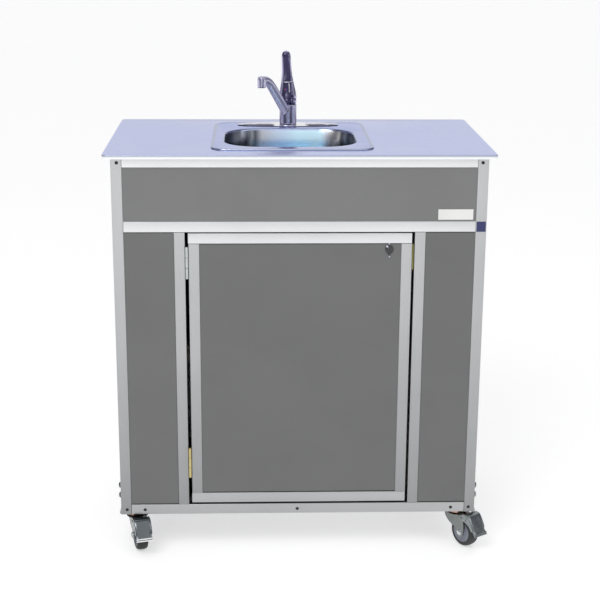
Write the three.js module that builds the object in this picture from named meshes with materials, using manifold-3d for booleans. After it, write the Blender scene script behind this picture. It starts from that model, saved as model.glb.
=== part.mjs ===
// Portable handwash sink: a wheeled aluminium cabinet with a drop-in sink, a single-lever
// faucet, a lockable door and its own water system inside. Millimetres, +Z up.
// Shapes are written in the cabinet's own frame: X from the cabinet's middle, Y back from the
// front face of the frame, Z up from the underside of the frame. The group is then moved so
// that the middle of the whole object's footprint, on the floor, is the origin.
import * as THREE from "three";
import { mergeVertices } from "three/addons/utils/BufferGeometryUtils.js";
import Module from "manifold-3d";

const wasm = await Module();
wasm.setup();
const { Manifold } = wasm;

// ---- driving dimensions -------------------------------------------------------------------
const GAP = 0.3; // between pieces that touch
const FRAME_WIDTH = 862;
const FRAME_DEPTH = 502;
const FRAME_HEIGHT = 880;
const TUBE = 25.4; // side of the square frame members
const MID_RAIL_Z = 704; // underside of the rail over the door
const MULLION_X = 265.5; // inner face of each door post
const PANEL_THICKNESS = 3;
const PANEL_RECESS = 4; // side and rear panels behind the frame's face
const FRONT_RECESS = 1; // front and door panels behind the frame's face

const TOP_WIDTH = 898;
const TOP_OVERHANG = 18;
const TOP_Z = 886;
const TOP_LIP_Z = 877;
const TOP_CORNER = 12;

const CASTER_HEIGHT = 97;
const CASTER_X = 396;
const CASTER_Y = 46;
const CASTER_TRAIL = 32;
const WHEEL_RADIUS = 37.5;
const WHEEL_WIDTH = 28;
const FRONT_LEFT_TURN = 15.5; // degrees each front caster is swivelled from straight forward
const FRONT_RIGHT_TURN = 34;

const BOWL_X = -18.5; // middle of the bowl's opening
const BOWL_Y = 222;
const BOWL_WIDTH = 315;
const BOWL_LENGTH = 272;
const BOWL_FLOOR_Z = 742;
const RIM_X = -16;
const RIM_Y = 247;
const RIM_WIDTH = 380;
const RIM_LENGTH = 402;
const STEEL = 1.5; // thickness of the pressed steel

const FAUCET_X = -18.5;
const FAUCET_Y = 408;
const SHANK_SPREAD = 51; // each water inlet from the faucet's middle
const HANDLE_PIVOT_Z = 949.5;

const DOOR_LEFT = -258;
const DOOR_RIGHT = 259;
const DOOR_BOTTOM = 29.7;
const DOOR_TOP = 701.7;
const HINGE_X = -261.7;
const HINGE_Y = -1;
const LOCK_X = 207;
const LOCK_Z = 663;

// Middle of the whole object's footprint and the floor, in the cabinet's frame.
const OBJECT_CENTRE = new THREE.Vector3(7.5, 236.5, -CASTER_HEIGHT);

const HALF_WIDTH = FRAME_WIDTH / 2;
const INNER_X = HALF_WIDTH - TUBE;
const INNER_BACK = FRAME_DEPTH - TUBE;
const TOP_RAIL_Z = FRAME_HEIGHT - TUBE;

// ---- materials ----------------------------------------------------------------------------
const finish = (color, roughness, metalness) =>
  new THREE.MeshStandardMaterial({ color, roughness, metalness });
const aluminium = finish(0xd4d6d8, 0.4, 0.9);
const panelGrey = finish(0x7c7d7e, 0.6, 0.1);
const stainless = finish(0xc3c8dc, 0.3, 1);
const chrome = finish(0xdfe1ea, 0.08, 1);
const zinc = finish(0x9aa0a2, 0.35, 0.9);
const brass = finish(0xb59b5a, 0.4, 0.9);
const rubber = finish(0x3a3c3c, 0.8, 0);
const clearPlastic = finish(0xdfe6ea, 0.5, 0);
const greyPlastic = finish(0x8d9296, 0.6, 0);
const whitePlastic = finish(0xe9e9e6, 0.5, 0);
const blackPlastic = finish(0x1d1f21, 0.6, 0);
const blueHose = finish(0x3d6fa8, 0.5, 0);
const redHose = finish(0xa8433d, 0.5, 0);

// ---- geometry helpers ---------------------------------------------------------------------
function toSolid(geometry) {
  const bare = geometry.index ? geometry.toNonIndexed() : geometry.clone();
  bare.deleteAttribute("normal");
  bare.deleteAttribute("uv");
  const merged = mergeVertices(bare, 1e-3);
  const mesh = new wasm.Mesh({
    numProp: 3,
    vertProperties: merged.attributes.position.array,
    triVerts: new Uint32Array(merged.index.array),
  });
  return new Manifold(mesh);
}

function toGeometry(solid) {
  const mesh = solid.getMesh();
  const geometry = new THREE.BufferGeometry();
  geometry.setAttribute("position", new THREE.BufferAttribute(mesh.vertProperties, 3));
  geometry.setIndex(new THREE.BufferAttribute(mesh.triVerts, 1));
  const flat = geometry.toNonIndexed();
  flat.computeVertexNormals();
  return flat;
}

const join = (...shapes) => toGeometry(shapes.map(toSolid).reduce((a, b) => a.add(b)));
const cut = (shape, ...tools) =>
  toGeometry(tools.map(toSolid).reduce((a, b) => a.subtract(b), toSolid(shape)));

function box(x0, x1, y0, y1, z0, z1) {
  const shape = new THREE.BoxGeometry(x1 - x0, y1 - y0, z1 - z0);
  return shape.translate((x0 + x1) / 2, (y0 + y1) / 2, (z0 + z1) / 2);
}

// A cylinder along X, Y or Z from one end to the other, through the point given by the rest.
function cylinder(axis, radius, from, to, u, v, sides = 24) {
  const shape = new THREE.CylinderGeometry(radius, radius, to - from, sides);
  const middle = (from + to) / 2;
  if (axis === "x") return shape.rotateZ(-Math.PI / 2).translate(middle, u, v);
  if (axis === "y") return shape.translate(u, middle, v);
  return shape.rotateX(Math.PI / 2).translate(u, v, middle);
}

// A closed [radius, height] profile turned about a vertical axis, drawn in either direction.
function turned(profile, x, y, sides = 28) {
  const points = profile.map(([radius, height]) => new THREE.Vector2(radius, height));
  if (THREE.ShapeUtils.area(points) < 0) points.reverse();
  if (profile[0][0] > 0) points.push(points[0].clone());
  return new THREE.LatheGeometry(points, sides).rotateX(Math.PI / 2).translate(x, y, 0);
}

// A flat outline of [u, v] points, given thickness along X: u runs along Y, v along Z.
function plateAcross(outline, x0, x1, hole) {
  const shape = new THREE.Shape(outline.map(([u, v]) => new THREE.Vector2(u, v)));
  if (hole) shape.holes.push(new THREE.Path().absarc(hole[0], hole[1], hole[2], 0, 2 * Math.PI));
  const options = { depth: x1 - x0, bevelEnabled: false, curveSegments: 10 };
  const solid = new THREE.ExtrudeGeometry(shape, options);
  const turn = new THREE.Matrix4().set(0, 0, 1, x0, 1, 0, 0, 0, 0, 1, 0, 0, 0, 0, 0, 1);
  return solid.applyMatrix4(turn);
}

// Points of a rectangle with rounded corners, counter-clockwise, at one height.
function roundedRing(x, y, width, length, corner, z, steps = 6) {
  const ring = [];
  const spots = [
    [1, 1, 0],
    [-1, 1, 90],
    [-1, -1, 180],
    [1, -1, 270],
  ];
  for (const [sx, sy, start] of spots) {
    for (let i = 0; i <= steps; i++) {
      const angle = THREE.MathUtils.degToRad(start + (90 * i) / steps);
      ring.push([
        x + sx * (width / 2 - corner) + corner * Math.cos(angle),
        y + sy * (length / 2 - corner) + corner * Math.sin(angle),
        z,
      ]);
    }
  }
  return ring;
}

const circleRing = (x, y, radius, z, steps) =>
  roundedRing(x, y, 2 * radius, 2 * radius, 0.985 * radius, z, steps);

function ovalRing(x, y, halfWidth, halfLength, power, z, sides = 40) {
  const ring = [];
  for (let i = 0; i < sides; i++) {
    const angle = (2 * Math.PI * i) / sides;
    const c = Math.cos(angle);
    const s = Math.sin(angle);
    ring.push([
      x + halfWidth * Math.sign(c) * Math.abs(c) ** power,
      y + halfLength * Math.sign(s) * Math.abs(s) ** power,
      z,
    ]);
  }
  return ring;
}

// A skin through rings of equal count. A looped skin closes on its first ring, like a tyre;
// any other skin has its two end rings filled flat.
function skin(rings, looped = false) {
  const count = rings[0].length;
  const positions = rings.flat(2);
  const faces = [];
  const last = looped ? rings.length : rings.length - 1;
  for (let r = 0; r < last; r++) {
    const a = r * count;
    const b = ((r + 1) % rings.length) * count;
    for (let i = 0; i < count; i++) {
      const j = (i + 1) % count;
      faces.push(a + i, a + j, b + j, a + i, b + j, b + i);
    }
  }
  if (!looped) {
    const end = (rings.length - 1) * count;
    for (let i = 1; i < count - 1; i++) {
      faces.push(0, i + 1, i);
      faces.push(end, end + i, end + i + 1);
    }
  }
  const geometry = new THREE.BufferGeometry();
  geometry.setAttribute("position", new THREE.Float32BufferAttribute(positions, 3));
  geometry.setIndex(faces);
  return geometry.toNonIndexed();
}

// A round hose or rod through the given points.
function tube(points, radius, steps, sides = 10) {
  const route = new THREE.CatmullRomCurve3(
    points.map((point) => new THREE.Vector3(...point)),
    false,
    "centripetal",
  );
  const section = new THREE.Shape();
  for (let i = 0; i < sides; i++) {
    const angle = (2 * Math.PI * i) / sides;
    const spot = [radius * Math.cos(angle), radius * Math.sin(angle)];
    if (i) section.lineTo(...spot);
    else section.moveTo(...spot);
  }
  const options = { steps, extrudePath: route, bevelEnabled: false };
  return new THREE.ExtrudeGeometry(section, options);
}

const part = new THREE.Group();
const cabinet = new THREE.Group();
cabinet.position.copy(OBJECT_CENTRE).negate();
part.add(cabinet);

function add(name, geometry, material, place) {
  const mesh = new THREE.Mesh(geometry, material);
  mesh.name = name;
  if (place) {
    mesh.position.set(place.x, place.y, 0);
    mesh.rotation.z = THREE.MathUtils.degToRad(place.turn);
  }
  cabinet.add(mesh);
}

// ---- frame --------------------------------------------------------------------------------
const sides = [
  ["left", -1],
  ["right", 1],
];
const span = (side, from, to) => (side > 0 ? [from, to] : [-to, -from]);

for (const [name, side] of sides) {
  const [x0, x1] = span(side, INNER_X, HALF_WIDTH);
  add("post_front_" + name, box(x0, x1, 0, TUBE, 0, FRAME_HEIGHT), aluminium);
  for (const [level, z] of [
    ["top", TOP_RAIL_Z],
    ["bottom", 0],
  ]) {
    const rail = box(x0, x1, TUBE + GAP, INNER_BACK - GAP, z, z + TUBE);
    add("rail_" + name + "_" + level, rail, aluminium);
  }
  const [m0, m1] = span(side, MULLION_X, MULLION_X + TUBE);
  const mullion = box(m0, m1, 0, TUBE, TUBE + GAP, MID_RAIL_Z - GAP);
  add("mullion_" + name, mullion, aluminium);
}

for (const [level, z] of [
  ["top", TOP_RAIL_Z],
  ["middle", MID_RAIL_Z],
  ["bottom", 0],
]) {
  const rail = box(-INNER_X + GAP, INNER_X - GAP, 0, TUBE, z, z + TUBE);
  add("rail_front_" + level, rail, aluminium);
}

add(
  "frame_rear",
  join(
    box(-HALF_WIDTH, -INNER_X, INNER_BACK, FRAME_DEPTH, 0, FRAME_HEIGHT),
    box(INNER_X, HALF_WIDTH, INNER_BACK, FRAME_DEPTH, 0, FRAME_HEIGHT),
    box(-HALF_WIDTH, HALF_WIDTH, INNER_BACK, FRAME_DEPTH, 0, TUBE),
    box(-HALF_WIDTH, HALF_WIDTH, INNER_BACK, FRAME_DEPTH, TOP_RAIL_Z, FRAME_HEIGHT),
  ),
  aluminium,
);

// ---- panels -------------------------------------------------------------------------------
const FACE_Y = FRONT_RECESS;
const BACK_OF_FACE_Y = FACE_Y + PANEL_THICKNESS;
add(
  "panel_front_upper",
  box(
    -INNER_X + GAP,
    INNER_X - GAP,
    FACE_Y,
    BACK_OF_FACE_Y,
    MID_RAIL_Z + TUBE + GAP,
    TOP_RAIL_Z - GAP,
  ),
  panelGrey,
);
for (const [name, side] of sides) {
  const [f0, f1] = span(side, MULLION_X + TUBE + GAP, INNER_X - GAP);
  add(
    "panel_front_" + name,
    box(f0, f1, FACE_Y, BACK_OF_FACE_Y, TUBE + GAP, MID_RAIL_Z - GAP),
    panelGrey,
  );
  const outer = HALF_WIDTH - PANEL_RECESS;
  const [s0, s1] = span(side, outer - PANEL_THICKNESS, outer);
  add(
    "panel_side_" + name,
    box(s0, s1, TUBE + GAP, INNER_BACK - GAP, TUBE + GAP, TOP_RAIL_Z - GAP),
    panelGrey,
  );
}
const REAR_Y = FRAME_DEPTH - PANEL_RECESS;
add(
  "panel_rear",
  box(
    -INNER_X + GAP,
    INNER_X - GAP,
    REAR_Y - PANEL_THICKNESS,
    REAR_Y,
    TUBE + GAP,
    TOP_RAIL_Z - GAP,
  ),
  panelGrey,
);
const FLOOR_Z = 25; // top of the cabinet's floor board
const FLOOR_THICKNESS = 12;
add(
  "panel_floor",
  box(
    -INNER_X + GAP,
    INNER_X - GAP,
    TUBE + GAP,
    INNER_BACK - GAP,
    FLOOR_Z - FLOOR_THICKNESS,
    FLOOR_Z,
  ),
  panelGrey,
);

// ---- worktop ------------------------------------------------------------------------------
const TOP_LENGTH = FRAME_DEPTH + 2 * TOP_OVERHANG;
const TOP_MIDDLE_Y = FRAME_DEPTH / 2;
const TOP_UNDERSIDE = FRAME_HEIGHT + GAP;
const LIP = 2; // thickness of the turned-down edge
const CUTOUT_WIDTH = RIM_WIDTH - 20;
const CUTOUT_LENGTH = RIM_LENGTH - 22;
const topRing = (inset, z) =>
  roundedRing(
    0,
    TOP_MIDDLE_Y,
    TOP_WIDTH - 2 * inset,
    TOP_LENGTH - 2 * inset,
    TOP_CORNER - inset,
    z,
    4,
  );
const cutoutRing = (z) => roundedRing(RIM_X, RIM_Y, CUTOUT_WIDTH, CUTOUT_LENGTH, 30, z, 4);
add(
  "worktop",
  skin(
    [
      topRing(0, TOP_LIP_Z),
      topRing(0, TOP_Z - 1.4),
      topRing(0.4, TOP_Z - 0.4),
      topRing(1.4, TOP_Z),
      cutoutRing(TOP_Z),
      cutoutRing(TOP_UNDERSIDE),
      topRing(LIP, TOP_UNDERSIDE),
      topRing(LIP, TOP_LIP_Z),
    ],
    true,
  ),
  stainless,
);

// ---- sink ---------------------------------------------------------------------------------
const DRAIN_HOLE_RADIUS = 33;
const DECK_Z = TOP_Z + 2.4; // top of the sink's flat ledge
const rimRing = (inset, z) =>
  roundedRing(RIM_X, RIM_Y, RIM_WIDTH - 2 * inset, RIM_LENGTH - 2 * inset, 38 - inset, z);
const bowlRing = (inset, corner, z) =>
  roundedRing(BOWL_X, BOWL_Y, BOWL_WIDTH - 2 * inset, BOWL_LENGTH - 2 * inset, corner, z);
const bowlShell = skin(
  [
    rimRing(0, TOP_Z + GAP),
    rimRing(0.2, TOP_Z + 1.7),
    rimRing(2.4, TOP_Z + 3.4),
    rimRing(7, TOP_Z + 3.2),
    rimRing(10, DECK_Z),
    bowlRing(-5, 88, DECK_Z),
    bowlRing(-1.5, 86, DECK_Z - 0.9),
    bowlRing(1, 84, DECK_Z - 4),
    bowlRing(6, 80, 820),
    bowlRing(11, 76, 770),
    bowlRing(15, 73, 756),
    bowlRing(23, 68, 747),
    bowlRing(38, 60, BOWL_FLOOR_Z + 1.6),
    circleRing(BOWL_X, BOWL_Y, 52, BOWL_FLOOR_Z + 0.4),
    circleRing(BOWL_X, BOWL_Y, 46, BOWL_FLOOR_Z - 1.6),
    circleRing(BOWL_X, BOWL_Y, DRAIN_HOLE_RADIUS, BOWL_FLOOR_Z - 1.6),
    circleRing(BOWL_X, BOWL_Y, DRAIN_HOLE_RADIUS, BOWL_FLOOR_Z - 1.6 - STEEL),
    circleRing(BOWL_X, BOWL_Y, 47, BOWL_FLOOR_Z - 1.6 - STEEL),
    circleRing(BOWL_X, BOWL_Y, 53, BOWL_FLOOR_Z + 0.4 - STEEL),
    bowlRing(37, 61, BOWL_FLOOR_Z + 1.6 - STEEL),
    bowlRing(22, 69, 745.6),
    bowlRing(13.6, 74.4, 755),
    bowlRing(9.6, 77.5, 769.6),
    bowlRing(4.5, 81.5, 819.6),
    bowlRing(-0.5, 85.5, DECK_Z - STEEL),
    rimRing(9, DECK_Z - STEEL),
  ],
  true,
);
const SHANK_RADIUS = 10;
const SHANK_HOLE = 14;
const shankXs = [FAUCET_X - SHANK_SPREAD, FAUCET_X + SHANK_SPREAD];
add(
  "sink_bowl",
  cut(
    bowlShell,
    ...shankXs.map((x) => cylinder("z", SHANK_HOLE, 870, 900, x, FAUCET_Y, 20)),
  ),
  stainless,
);

const DRAIN_TOP = BOWL_FLOOR_Z + 1;
const TAIL_RADIUS = 19;
const TAIL_END_Z = 352; // the tailpiece ends inside the neck of the waste tank
const FLANGE_UNDERSIDE = BOWL_FLOOR_Z - 1.6 + GAP;
add(
  "drain_body",
  turned(
    [
      [29, DRAIN_TOP - 2],
      [29, 716],
      [27, 702],
      [16.8, 694],
      [16.8, TAIL_END_Z],
      [TAIL_RADIUS, TAIL_END_Z],
      [TAIL_RADIUS, 690],
      [24, 690],
      [24, 699],
      [31.5, 703],
      [31.5, FLANGE_UNDERSIDE],
      [44, FLANGE_UNDERSIDE],
      [44, FLANGE_UNDERSIDE + 0.8],
      [40, DRAIN_TOP],
      [32, DRAIN_TOP],
    ],
    BOWL_X,
    BOWL_Y,
  ),
  stainless,
);
add(
  "strainer_basket",
  turned(
    [
      [0, 720],
      [20, 720],
      [25.5, 724],
      [25.5, DRAIN_TOP - 2],
      [27.5, DRAIN_TOP - 1],
      [27.5, DRAIN_TOP],
      [24, DRAIN_TOP],
      [24, 726],
      [19.5, 721.5],
      [3, 721.5],
      [3, 738],
      [7, 741],
      [7, 745],
      [4, 748],
      [0, 748],
    ],
    BOWL_X,
    BOWL_Y,
    20,
  ),
  stainless,
);

// ---- faucet -------------------------------------------------------------------------------
const PLATE_BOTTOM = DECK_Z + GAP;
const PLATE_TOP = 893;
const SHANK_END_Z = 842;
const plateRing = (scaleX, scaleY, z) =>
  ovalRing(FAUCET_X, FAUCET_Y, 128.5 * scaleX, 29.4 * scaleY, 0.86, z);
add(
  "faucet_deck_plate",
  join(
    skin([
      plateRing(0.985, 0.95, PLATE_BOTTOM),
      plateRing(1, 1, PLATE_BOTTOM + 1),
      plateRing(0.99, 0.97, PLATE_BOTTOM + 2),
      plateRing(0.9, 0.88, PLATE_TOP - 1.4),
      plateRing(0.6, 0.78, PLATE_TOP - 0.3),
      plateRing(0.3, 0.7, PLATE_TOP),
    ]),
    ...shankXs.map((x) =>
      cylinder("z", SHANK_RADIUS, SHANK_END_Z, PLATE_BOTTOM + 1, x, FAUCET_Y, 20),
    ),
  ),
  chrome,
);

const CORE_RADIUS = 15;
const BODY_RADIUS = 22;
const BODY_TOP_Z = 941.7;
const BALL_RADIUS = 21.5;
const BALL_TOP_Z = 960;
const ballAt = (radius, z) => [Math.sqrt(radius ** 2 - (z - HANDLE_PIVOT_Z) ** 2), z];
add(
  "faucet_core",
  turned(
    [
      [0, PLATE_TOP + GAP],
      [CORE_RADIUS, PLATE_TOP + GAP],
      [CORE_RADIUS, BODY_TOP_Z + GAP],
      ballAt(BALL_RADIUS, BODY_TOP_Z + GAP),
      ballAt(BALL_RADIUS, 945.5),
      ballAt(BALL_RADIUS, 949.5),
      ballAt(BALL_RADIUS, 953.5),
      ballAt(BALL_RADIUS, 957),
      ballAt(BALL_RADIUS, BALL_TOP_Z),
      [0, BALL_TOP_Z],
    ],
    FAUCET_X,
    FAUCET_Y,
    24,
  ),
  chrome,
);

// The spout turns with the tall sleeve it grows from, and ends in a short downward outlet.
const OUTLET = [-86, 304, 996];
const OUTLET_LENGTH = 29;
const sleeve = turned(
  [
    [CORE_RADIUS + GAP, PLATE_TOP + GAP],
    [CORE_RADIUS + GAP, BODY_TOP_Z],
    [BODY_RADIUS - 0.8, BODY_TOP_Z],
    [BODY_RADIUS, BODY_TOP_Z - 1.2],
    [BODY_RADIUS, PLATE_TOP + GAP],
  ],
  FAUCET_X,
  FAUCET_Y,
);
const outletSpot = (share, z) => [
  FAUCET_X + share * (OUTLET[0] - FAUCET_X),
  FAUCET_Y + share * (OUTLET[1] - FAUCET_Y),
  z,
];
const arm = tube(
  [
    outletSpot(0.06, 921),
    outletSpot(0.18, 936),
    outletSpot(0.42, 967),
    outletSpot(0.66, 997),
    outletSpot(0.8, 1009.5),
    outletSpot(0.95, 1014.4),
  ],
  11.8,
  12,
  16,
);
const outlet = turned(
  [
    [0, OUTLET[2]],
    [9.6, OUTLET[2]],
    [10.2, OUTLET[2] + 1],
    [10.6, OUTLET[2] + OUTLET_LENGTH - 9],
    [9.6, OUTLET[2] + OUTLET_LENGTH - 4.5],
    [6, OUTLET[2] + OUTLET_LENGTH - 1],
    [0, OUTLET[2] + OUTLET_LENGTH],
  ],
  OUTLET[0],
  OUTLET[1],
  24,
);
const coreClearance = cylinder("z", CORE_RADIUS + GAP, 880, 960, FAUCET_X, FAUCET_Y, 28);
const outletMouth = cylinder("z", 7.4, OUTLET[2] - 1, OUTLET[2] + 8, OUTLET[0], OUTLET[1], 20);
const handleClearance = cylinder("z", 22.8, BODY_TOP_Z, 980, FAUCET_X, FAUCET_Y, 40);
add(
  "faucet_spout",
  join(sleeve, cut(join(arm, outlet), coreClearance, handleClearance, outletMouth)),
  chrome,
);

add(
  "faucet_stem",
  cylinder("z", 6, BALL_TOP_Z + GAP, 968, FAUCET_X, FAUCET_Y, 16),
  zinc,
);
const SOCKET_RADIUS = BALL_RADIUS + 0.4;
const socketAt = (z) => ballAt(SOCKET_RADIUS, z);
const LEVER_LEAN = THREE.MathUtils.degToRad(-2.6); // the tapered grip leans a little to the left
const leverShape = turned(
  [
    socketAt(957.2),
    [22.1, 957.2],
    [22.2, 962],
    [20.4, 975],
    [17.6, 989],
    [15, 1003],
    [13.2, 1018],
    [12.2, 1034],
    [11.8, 1060],
    [10.6, 1067],
    [7.6, 1072.5],
    [3.4, 1075.4],
    [0, 1076],
    [0, HANDLE_PIVOT_Z + SOCKET_RADIUS],
    [9, HANDLE_PIVOT_Z + Math.sqrt(SOCKET_RADIUS ** 2 - 9 ** 2)],
    [15, HANDLE_PIVOT_Z + Math.sqrt(SOCKET_RADIUS ** 2 - 15 ** 2)],
    socketAt(961.6),
  ],
  0,
  0,
  24,
)
  .translate(0, 0, -HANDLE_PIVOT_Z)
  .rotateY(LEVER_LEAN)
  .translate(FAUCET_X, FAUCET_Y, HANDLE_PIVOT_Z);
add("faucet_lever", leverShape, chrome);

// ---- door, hinges and lock ----------------------------------------------------------------
const STILE_FOOT = 55.3;
const STILE_HEAD = 677;
const STILE_OUT = 1; // the stiles stand this far outside the ends of the rails
add(
  "door_rail_top",
  box(DOOR_LEFT, DOOR_RIGHT, 0, TUBE, STILE_HEAD, DOOR_TOP),
  aluminium,
);
add(
  "door_rail_bottom",
  box(DOOR_LEFT, DOOR_RIGHT, 0, TUBE, DOOR_BOTTOM, STILE_FOOT),
  aluminium,
);
const LEAF = 1.2; // thickness of a hinge leaf
const LEFT_STILE = DOOR_LEFT + LEAF;
add(
  "door_stile_left",
  box(
    LEFT_STILE - STILE_OUT,
    LEFT_STILE - STILE_OUT + TUBE,
    0,
    TUBE,
    STILE_FOOT + GAP,
    STILE_HEAD - GAP,
  ),
  aluminium,
);
add(
  "door_stile_right",
  box(
    DOOR_RIGHT + STILE_OUT - TUBE,
    DOOR_RIGHT + STILE_OUT,
    0,
    TUBE,
    STILE_FOOT + GAP,
    STILE_HEAD - GAP,
  ),
  aluminium,
);
const LOCK_RADIUS = 8;
add(
  "door_panel",
  cut(
    box(
      LEFT_STILE - STILE_OUT + TUBE + GAP,
      DOOR_RIGHT + STILE_OUT - TUBE - GAP,
      FACE_Y,
      BACK_OF_FACE_Y,
      STILE_FOOT + GAP,
      STILE_HEAD - GAP,
    ),
    cylinder("y", LOCK_RADIUS + GAP, -1, 12, LOCK_X, LOCK_Z, 28),
  ),
  panelGrey,
);

const KNUCKLE = 3.5;
const PIN = 1.6;
const HINGE_HEIGHT = 76;
const LEAF_DEPTH = 22;
const hinges = [
  ["lower", 97],
  ["upper", 594],
];
for (const [name, foot] of hinges) {
  const third = HINGE_HEIGHT / 3;
  const head = foot + HINGE_HEIGHT;
  const barrel = (from, to) => cylinder("z", KNUCKLE, from, to, HINGE_X, HINGE_Y, 18);
  const frameLeafX = -MULLION_X + GAP;
  const middle = [foot + third, head - third];
  const cleared = cylinder("z", KNUCKLE + 0.4, ...middle, HINGE_X, HINGE_Y, 18);
  add(
    "hinge_" + name + "_frame_leaf",
    join(
      cut(box(frameLeafX, frameLeafX + LEAF, 0, LEAF_DEPTH, foot, head), cleared),
      barrel(foot, middle[0]),
      barrel(middle[1], head),
      cylinder("z", PIN, foot, head, HINGE_X, HINGE_Y, 12),
    ),
    name === "lower" ? brass : zinc,
  );
  const doorLeafX = LEFT_STILE - STILE_OUT - GAP - LEAF;
  const leaf = box(doorLeafX, doorLeafX + LEAF, 0, LEAF_DEPTH, foot, head);
  const ends = [
    cylinder("z", KNUCKLE + 0.4, foot - 1, middle[0] + GAP, HINGE_X, HINGE_Y, 18),
    cylinder("z", KNUCKLE + 0.4, middle[1] - GAP, head + 1, HINGE_X, HINGE_Y, 18),
    cylinder("z", PIN + GAP, foot - 1, head + 1, HINGE_X, HINGE_Y, 12),
  ];
  add(
    "hinge_" + name + "_door_leaf",
    cut(join(leaf, barrel(middle[0] + GAP, middle[1] - GAP)), ...ends),
    name === "lower" ? brass : zinc,
  );
}

const BEZEL_FRONT = -2;
const LOCK_BACK = 24;
const PLUG = 5.5;
const CAM_FRONT = 26.3;
add(
  "lock_body",
  cut(
    join(
      cylinder("y", 9.6, BEZEL_FRONT, FACE_Y - GAP, LOCK_X, LOCK_Z, 28),
      cylinder("y", LOCK_RADIUS, BEZEL_FRONT + 1, LOCK_BACK, LOCK_X, LOCK_Z, 24),
      cylinder("y", 11, BACK_OF_FACE_Y + GAP, 11.5, LOCK_X, LOCK_Z, 6),
    ),
    cylinder("y", PLUG + GAP, -5, 30, LOCK_X, LOCK_Z, 20),
  ),
  chrome,
);
// The cam hangs straight down when the door is unlocked.
const CAM_LENGTH = 74;
add(
  "lock_cam",
  join(
    cylinder("y", PLUG, BEZEL_FRONT - 0.6, CAM_FRONT + 1, LOCK_X, LOCK_Z, 20),
    box(LOCK_X - 8, LOCK_X + 8, CAM_FRONT, CAM_FRONT + 2.5, LOCK_Z - CAM_LENGTH, LOCK_Z + 8),
  ),
  brass,
);

// ---- casters ------------------------------------------------------------------------------
// Each is drawn about its own vertical axis with the wheel towards -Y, then placed and turned.
const PLATE_HALF_X = 40;
const PLATE_HALF_Y = 38;
const PLATE_THICKNESS = 3;
const RACE_RADIUS = 26;
const RACE_BOTTOM = -16.5;
const CROWN_TOP = RACE_BOTTOM - GAP;
const CROWN_THICKNESS = 3;
const AXLE_Z = WHEEL_RADIUS - CASTER_HEIGHT;
const AXLE_RADIUS = 5;
const CHEEK_INSIDE = WHEEL_WIDTH / 2 + 1.5;
const CHEEK_OUTSIDE = CHEEK_INSIDE + 2.5;
const PEDAL_PIVOT = [-38, -19]; // Y and Z of the brake pedal's rivet
const PEDAL_RIVET = 2.6;

function wheel(y) {
  const half = WHEEL_WIDTH / 2;
  const bore = AXLE_RADIUS + 0.35;
  const rim = [
    [bore, -half],
    [11, -half],
    [12.5, -half + 4],
    [25, -half + 4],
    [27, -half + 0.6],
    [33.5, -half + 0.6],
    [36.8, -half + 3.2],
    [WHEEL_RADIUS, -half + 8.5],
  ];
  const mirrored = rim.map(([radius, x]) => [radius, -x]).reverse();
  const shape = turned([...rim, ...mirrored], 0, 0, 26);
  return shape.rotateY(Math.PI / 2).translate(0, y, AXLE_Z);
}

const axle = (y) => [
  cylinder("x", AXLE_RADIUS, -CHEEK_OUTSIDE - 1, CHEEK_OUTSIDE + 1, y, AXLE_Z, 20),
  cylinder("x", 8, CHEEK_OUTSIDE - 0.5, CHEEK_OUTSIDE + 5, y, AXLE_Z, 6),
  cylinder("x", 8, -CHEEK_OUTSIDE - 5, -CHEEK_OUTSIDE + 0.5, y, AXLE_Z, 6),
];

function cheeks(outline) {
  return [
    plateAcross(outline, CHEEK_INSIDE, CHEEK_OUTSIDE),
    plateAcross(outline, -CHEEK_OUTSIDE, -CHEEK_INSIDE),
  ];
}

function swivelFork() {
  const y = -CASTER_TRAIL;
  const outline = [
    [25, CROWN_TOP],
    [25, CROWN_TOP - 9],
    [19, -34],
    [4, -46],
    [y + 13, -54],
    [y + 13, AXLE_Z - 3],
    [y + 8, AXLE_Z - 11],
    [y, AXLE_Z - 13],
    [y - 8, AXLE_Z - 11],
    [y - 12.5, AXLE_Z - 3],
    [y - 12.5, -36],
    [-43, -26],
    [-43, CROWN_TOP],
  ];
  const width = CHEEK_OUTSIDE;
  const crown = box(-width, width, -43, 25, CROWN_TOP - CROWN_THICKNESS, CROWN_TOP);
  const cap = cylinder("z", 27, CROWN_TOP - CROWN_THICKNESS, CROWN_TOP, 0, 0, 32);
  const rivetEnd = CHEEK_OUTSIDE + 4.2;
  const rivet = cylinder("x", PEDAL_RIVET, -rivetEnd, rivetEnd, ...PEDAL_PIVOT, 14);
  const brace = cylinder("x", 3, -CHEEK_OUTSIDE + 1, CHEEK_OUTSIDE - 1, ...PEDAL_PIVOT, 14);
  return join(crown, cap, ...cheeks(outline), rivet, brace, ...axle(y));
}

function rigidFork() {
  const outline = [
    [30, -PLATE_THICKNESS],
    [30, -12],
    [13, AXLE_Z + 2],
    [9, AXLE_Z - 9],
    [0, AXLE_Z - 13],
    [-9, AXLE_Z - 9],
    [-13, AXLE_Z + 2],
    [-30, -12],
    [-30, -PLATE_THICKNESS],
  ];
  return join(topPlate(), ...cheeks(outline), ...axle(0));
}

const topPlate = () =>
  box(-PLATE_HALF_X, PLATE_HALF_X, -PLATE_HALF_Y, PLATE_HALF_Y, -PLATE_THICKNESS - GAP, -GAP);

function swivelPlate() {
  const race = turned(
    [
      [0, RACE_BOTTOM],
      [20, RACE_BOTTOM],
      [RACE_RADIUS - 1.5, -14],
      [RACE_RADIUS, -10],
      [RACE_RADIUS, -6],
      [RACE_RADIUS - 2, -1],
      [0, -1],
    ],
    0,
    0,
    28,
  );
  return join(topPlate(), race);
}

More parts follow.
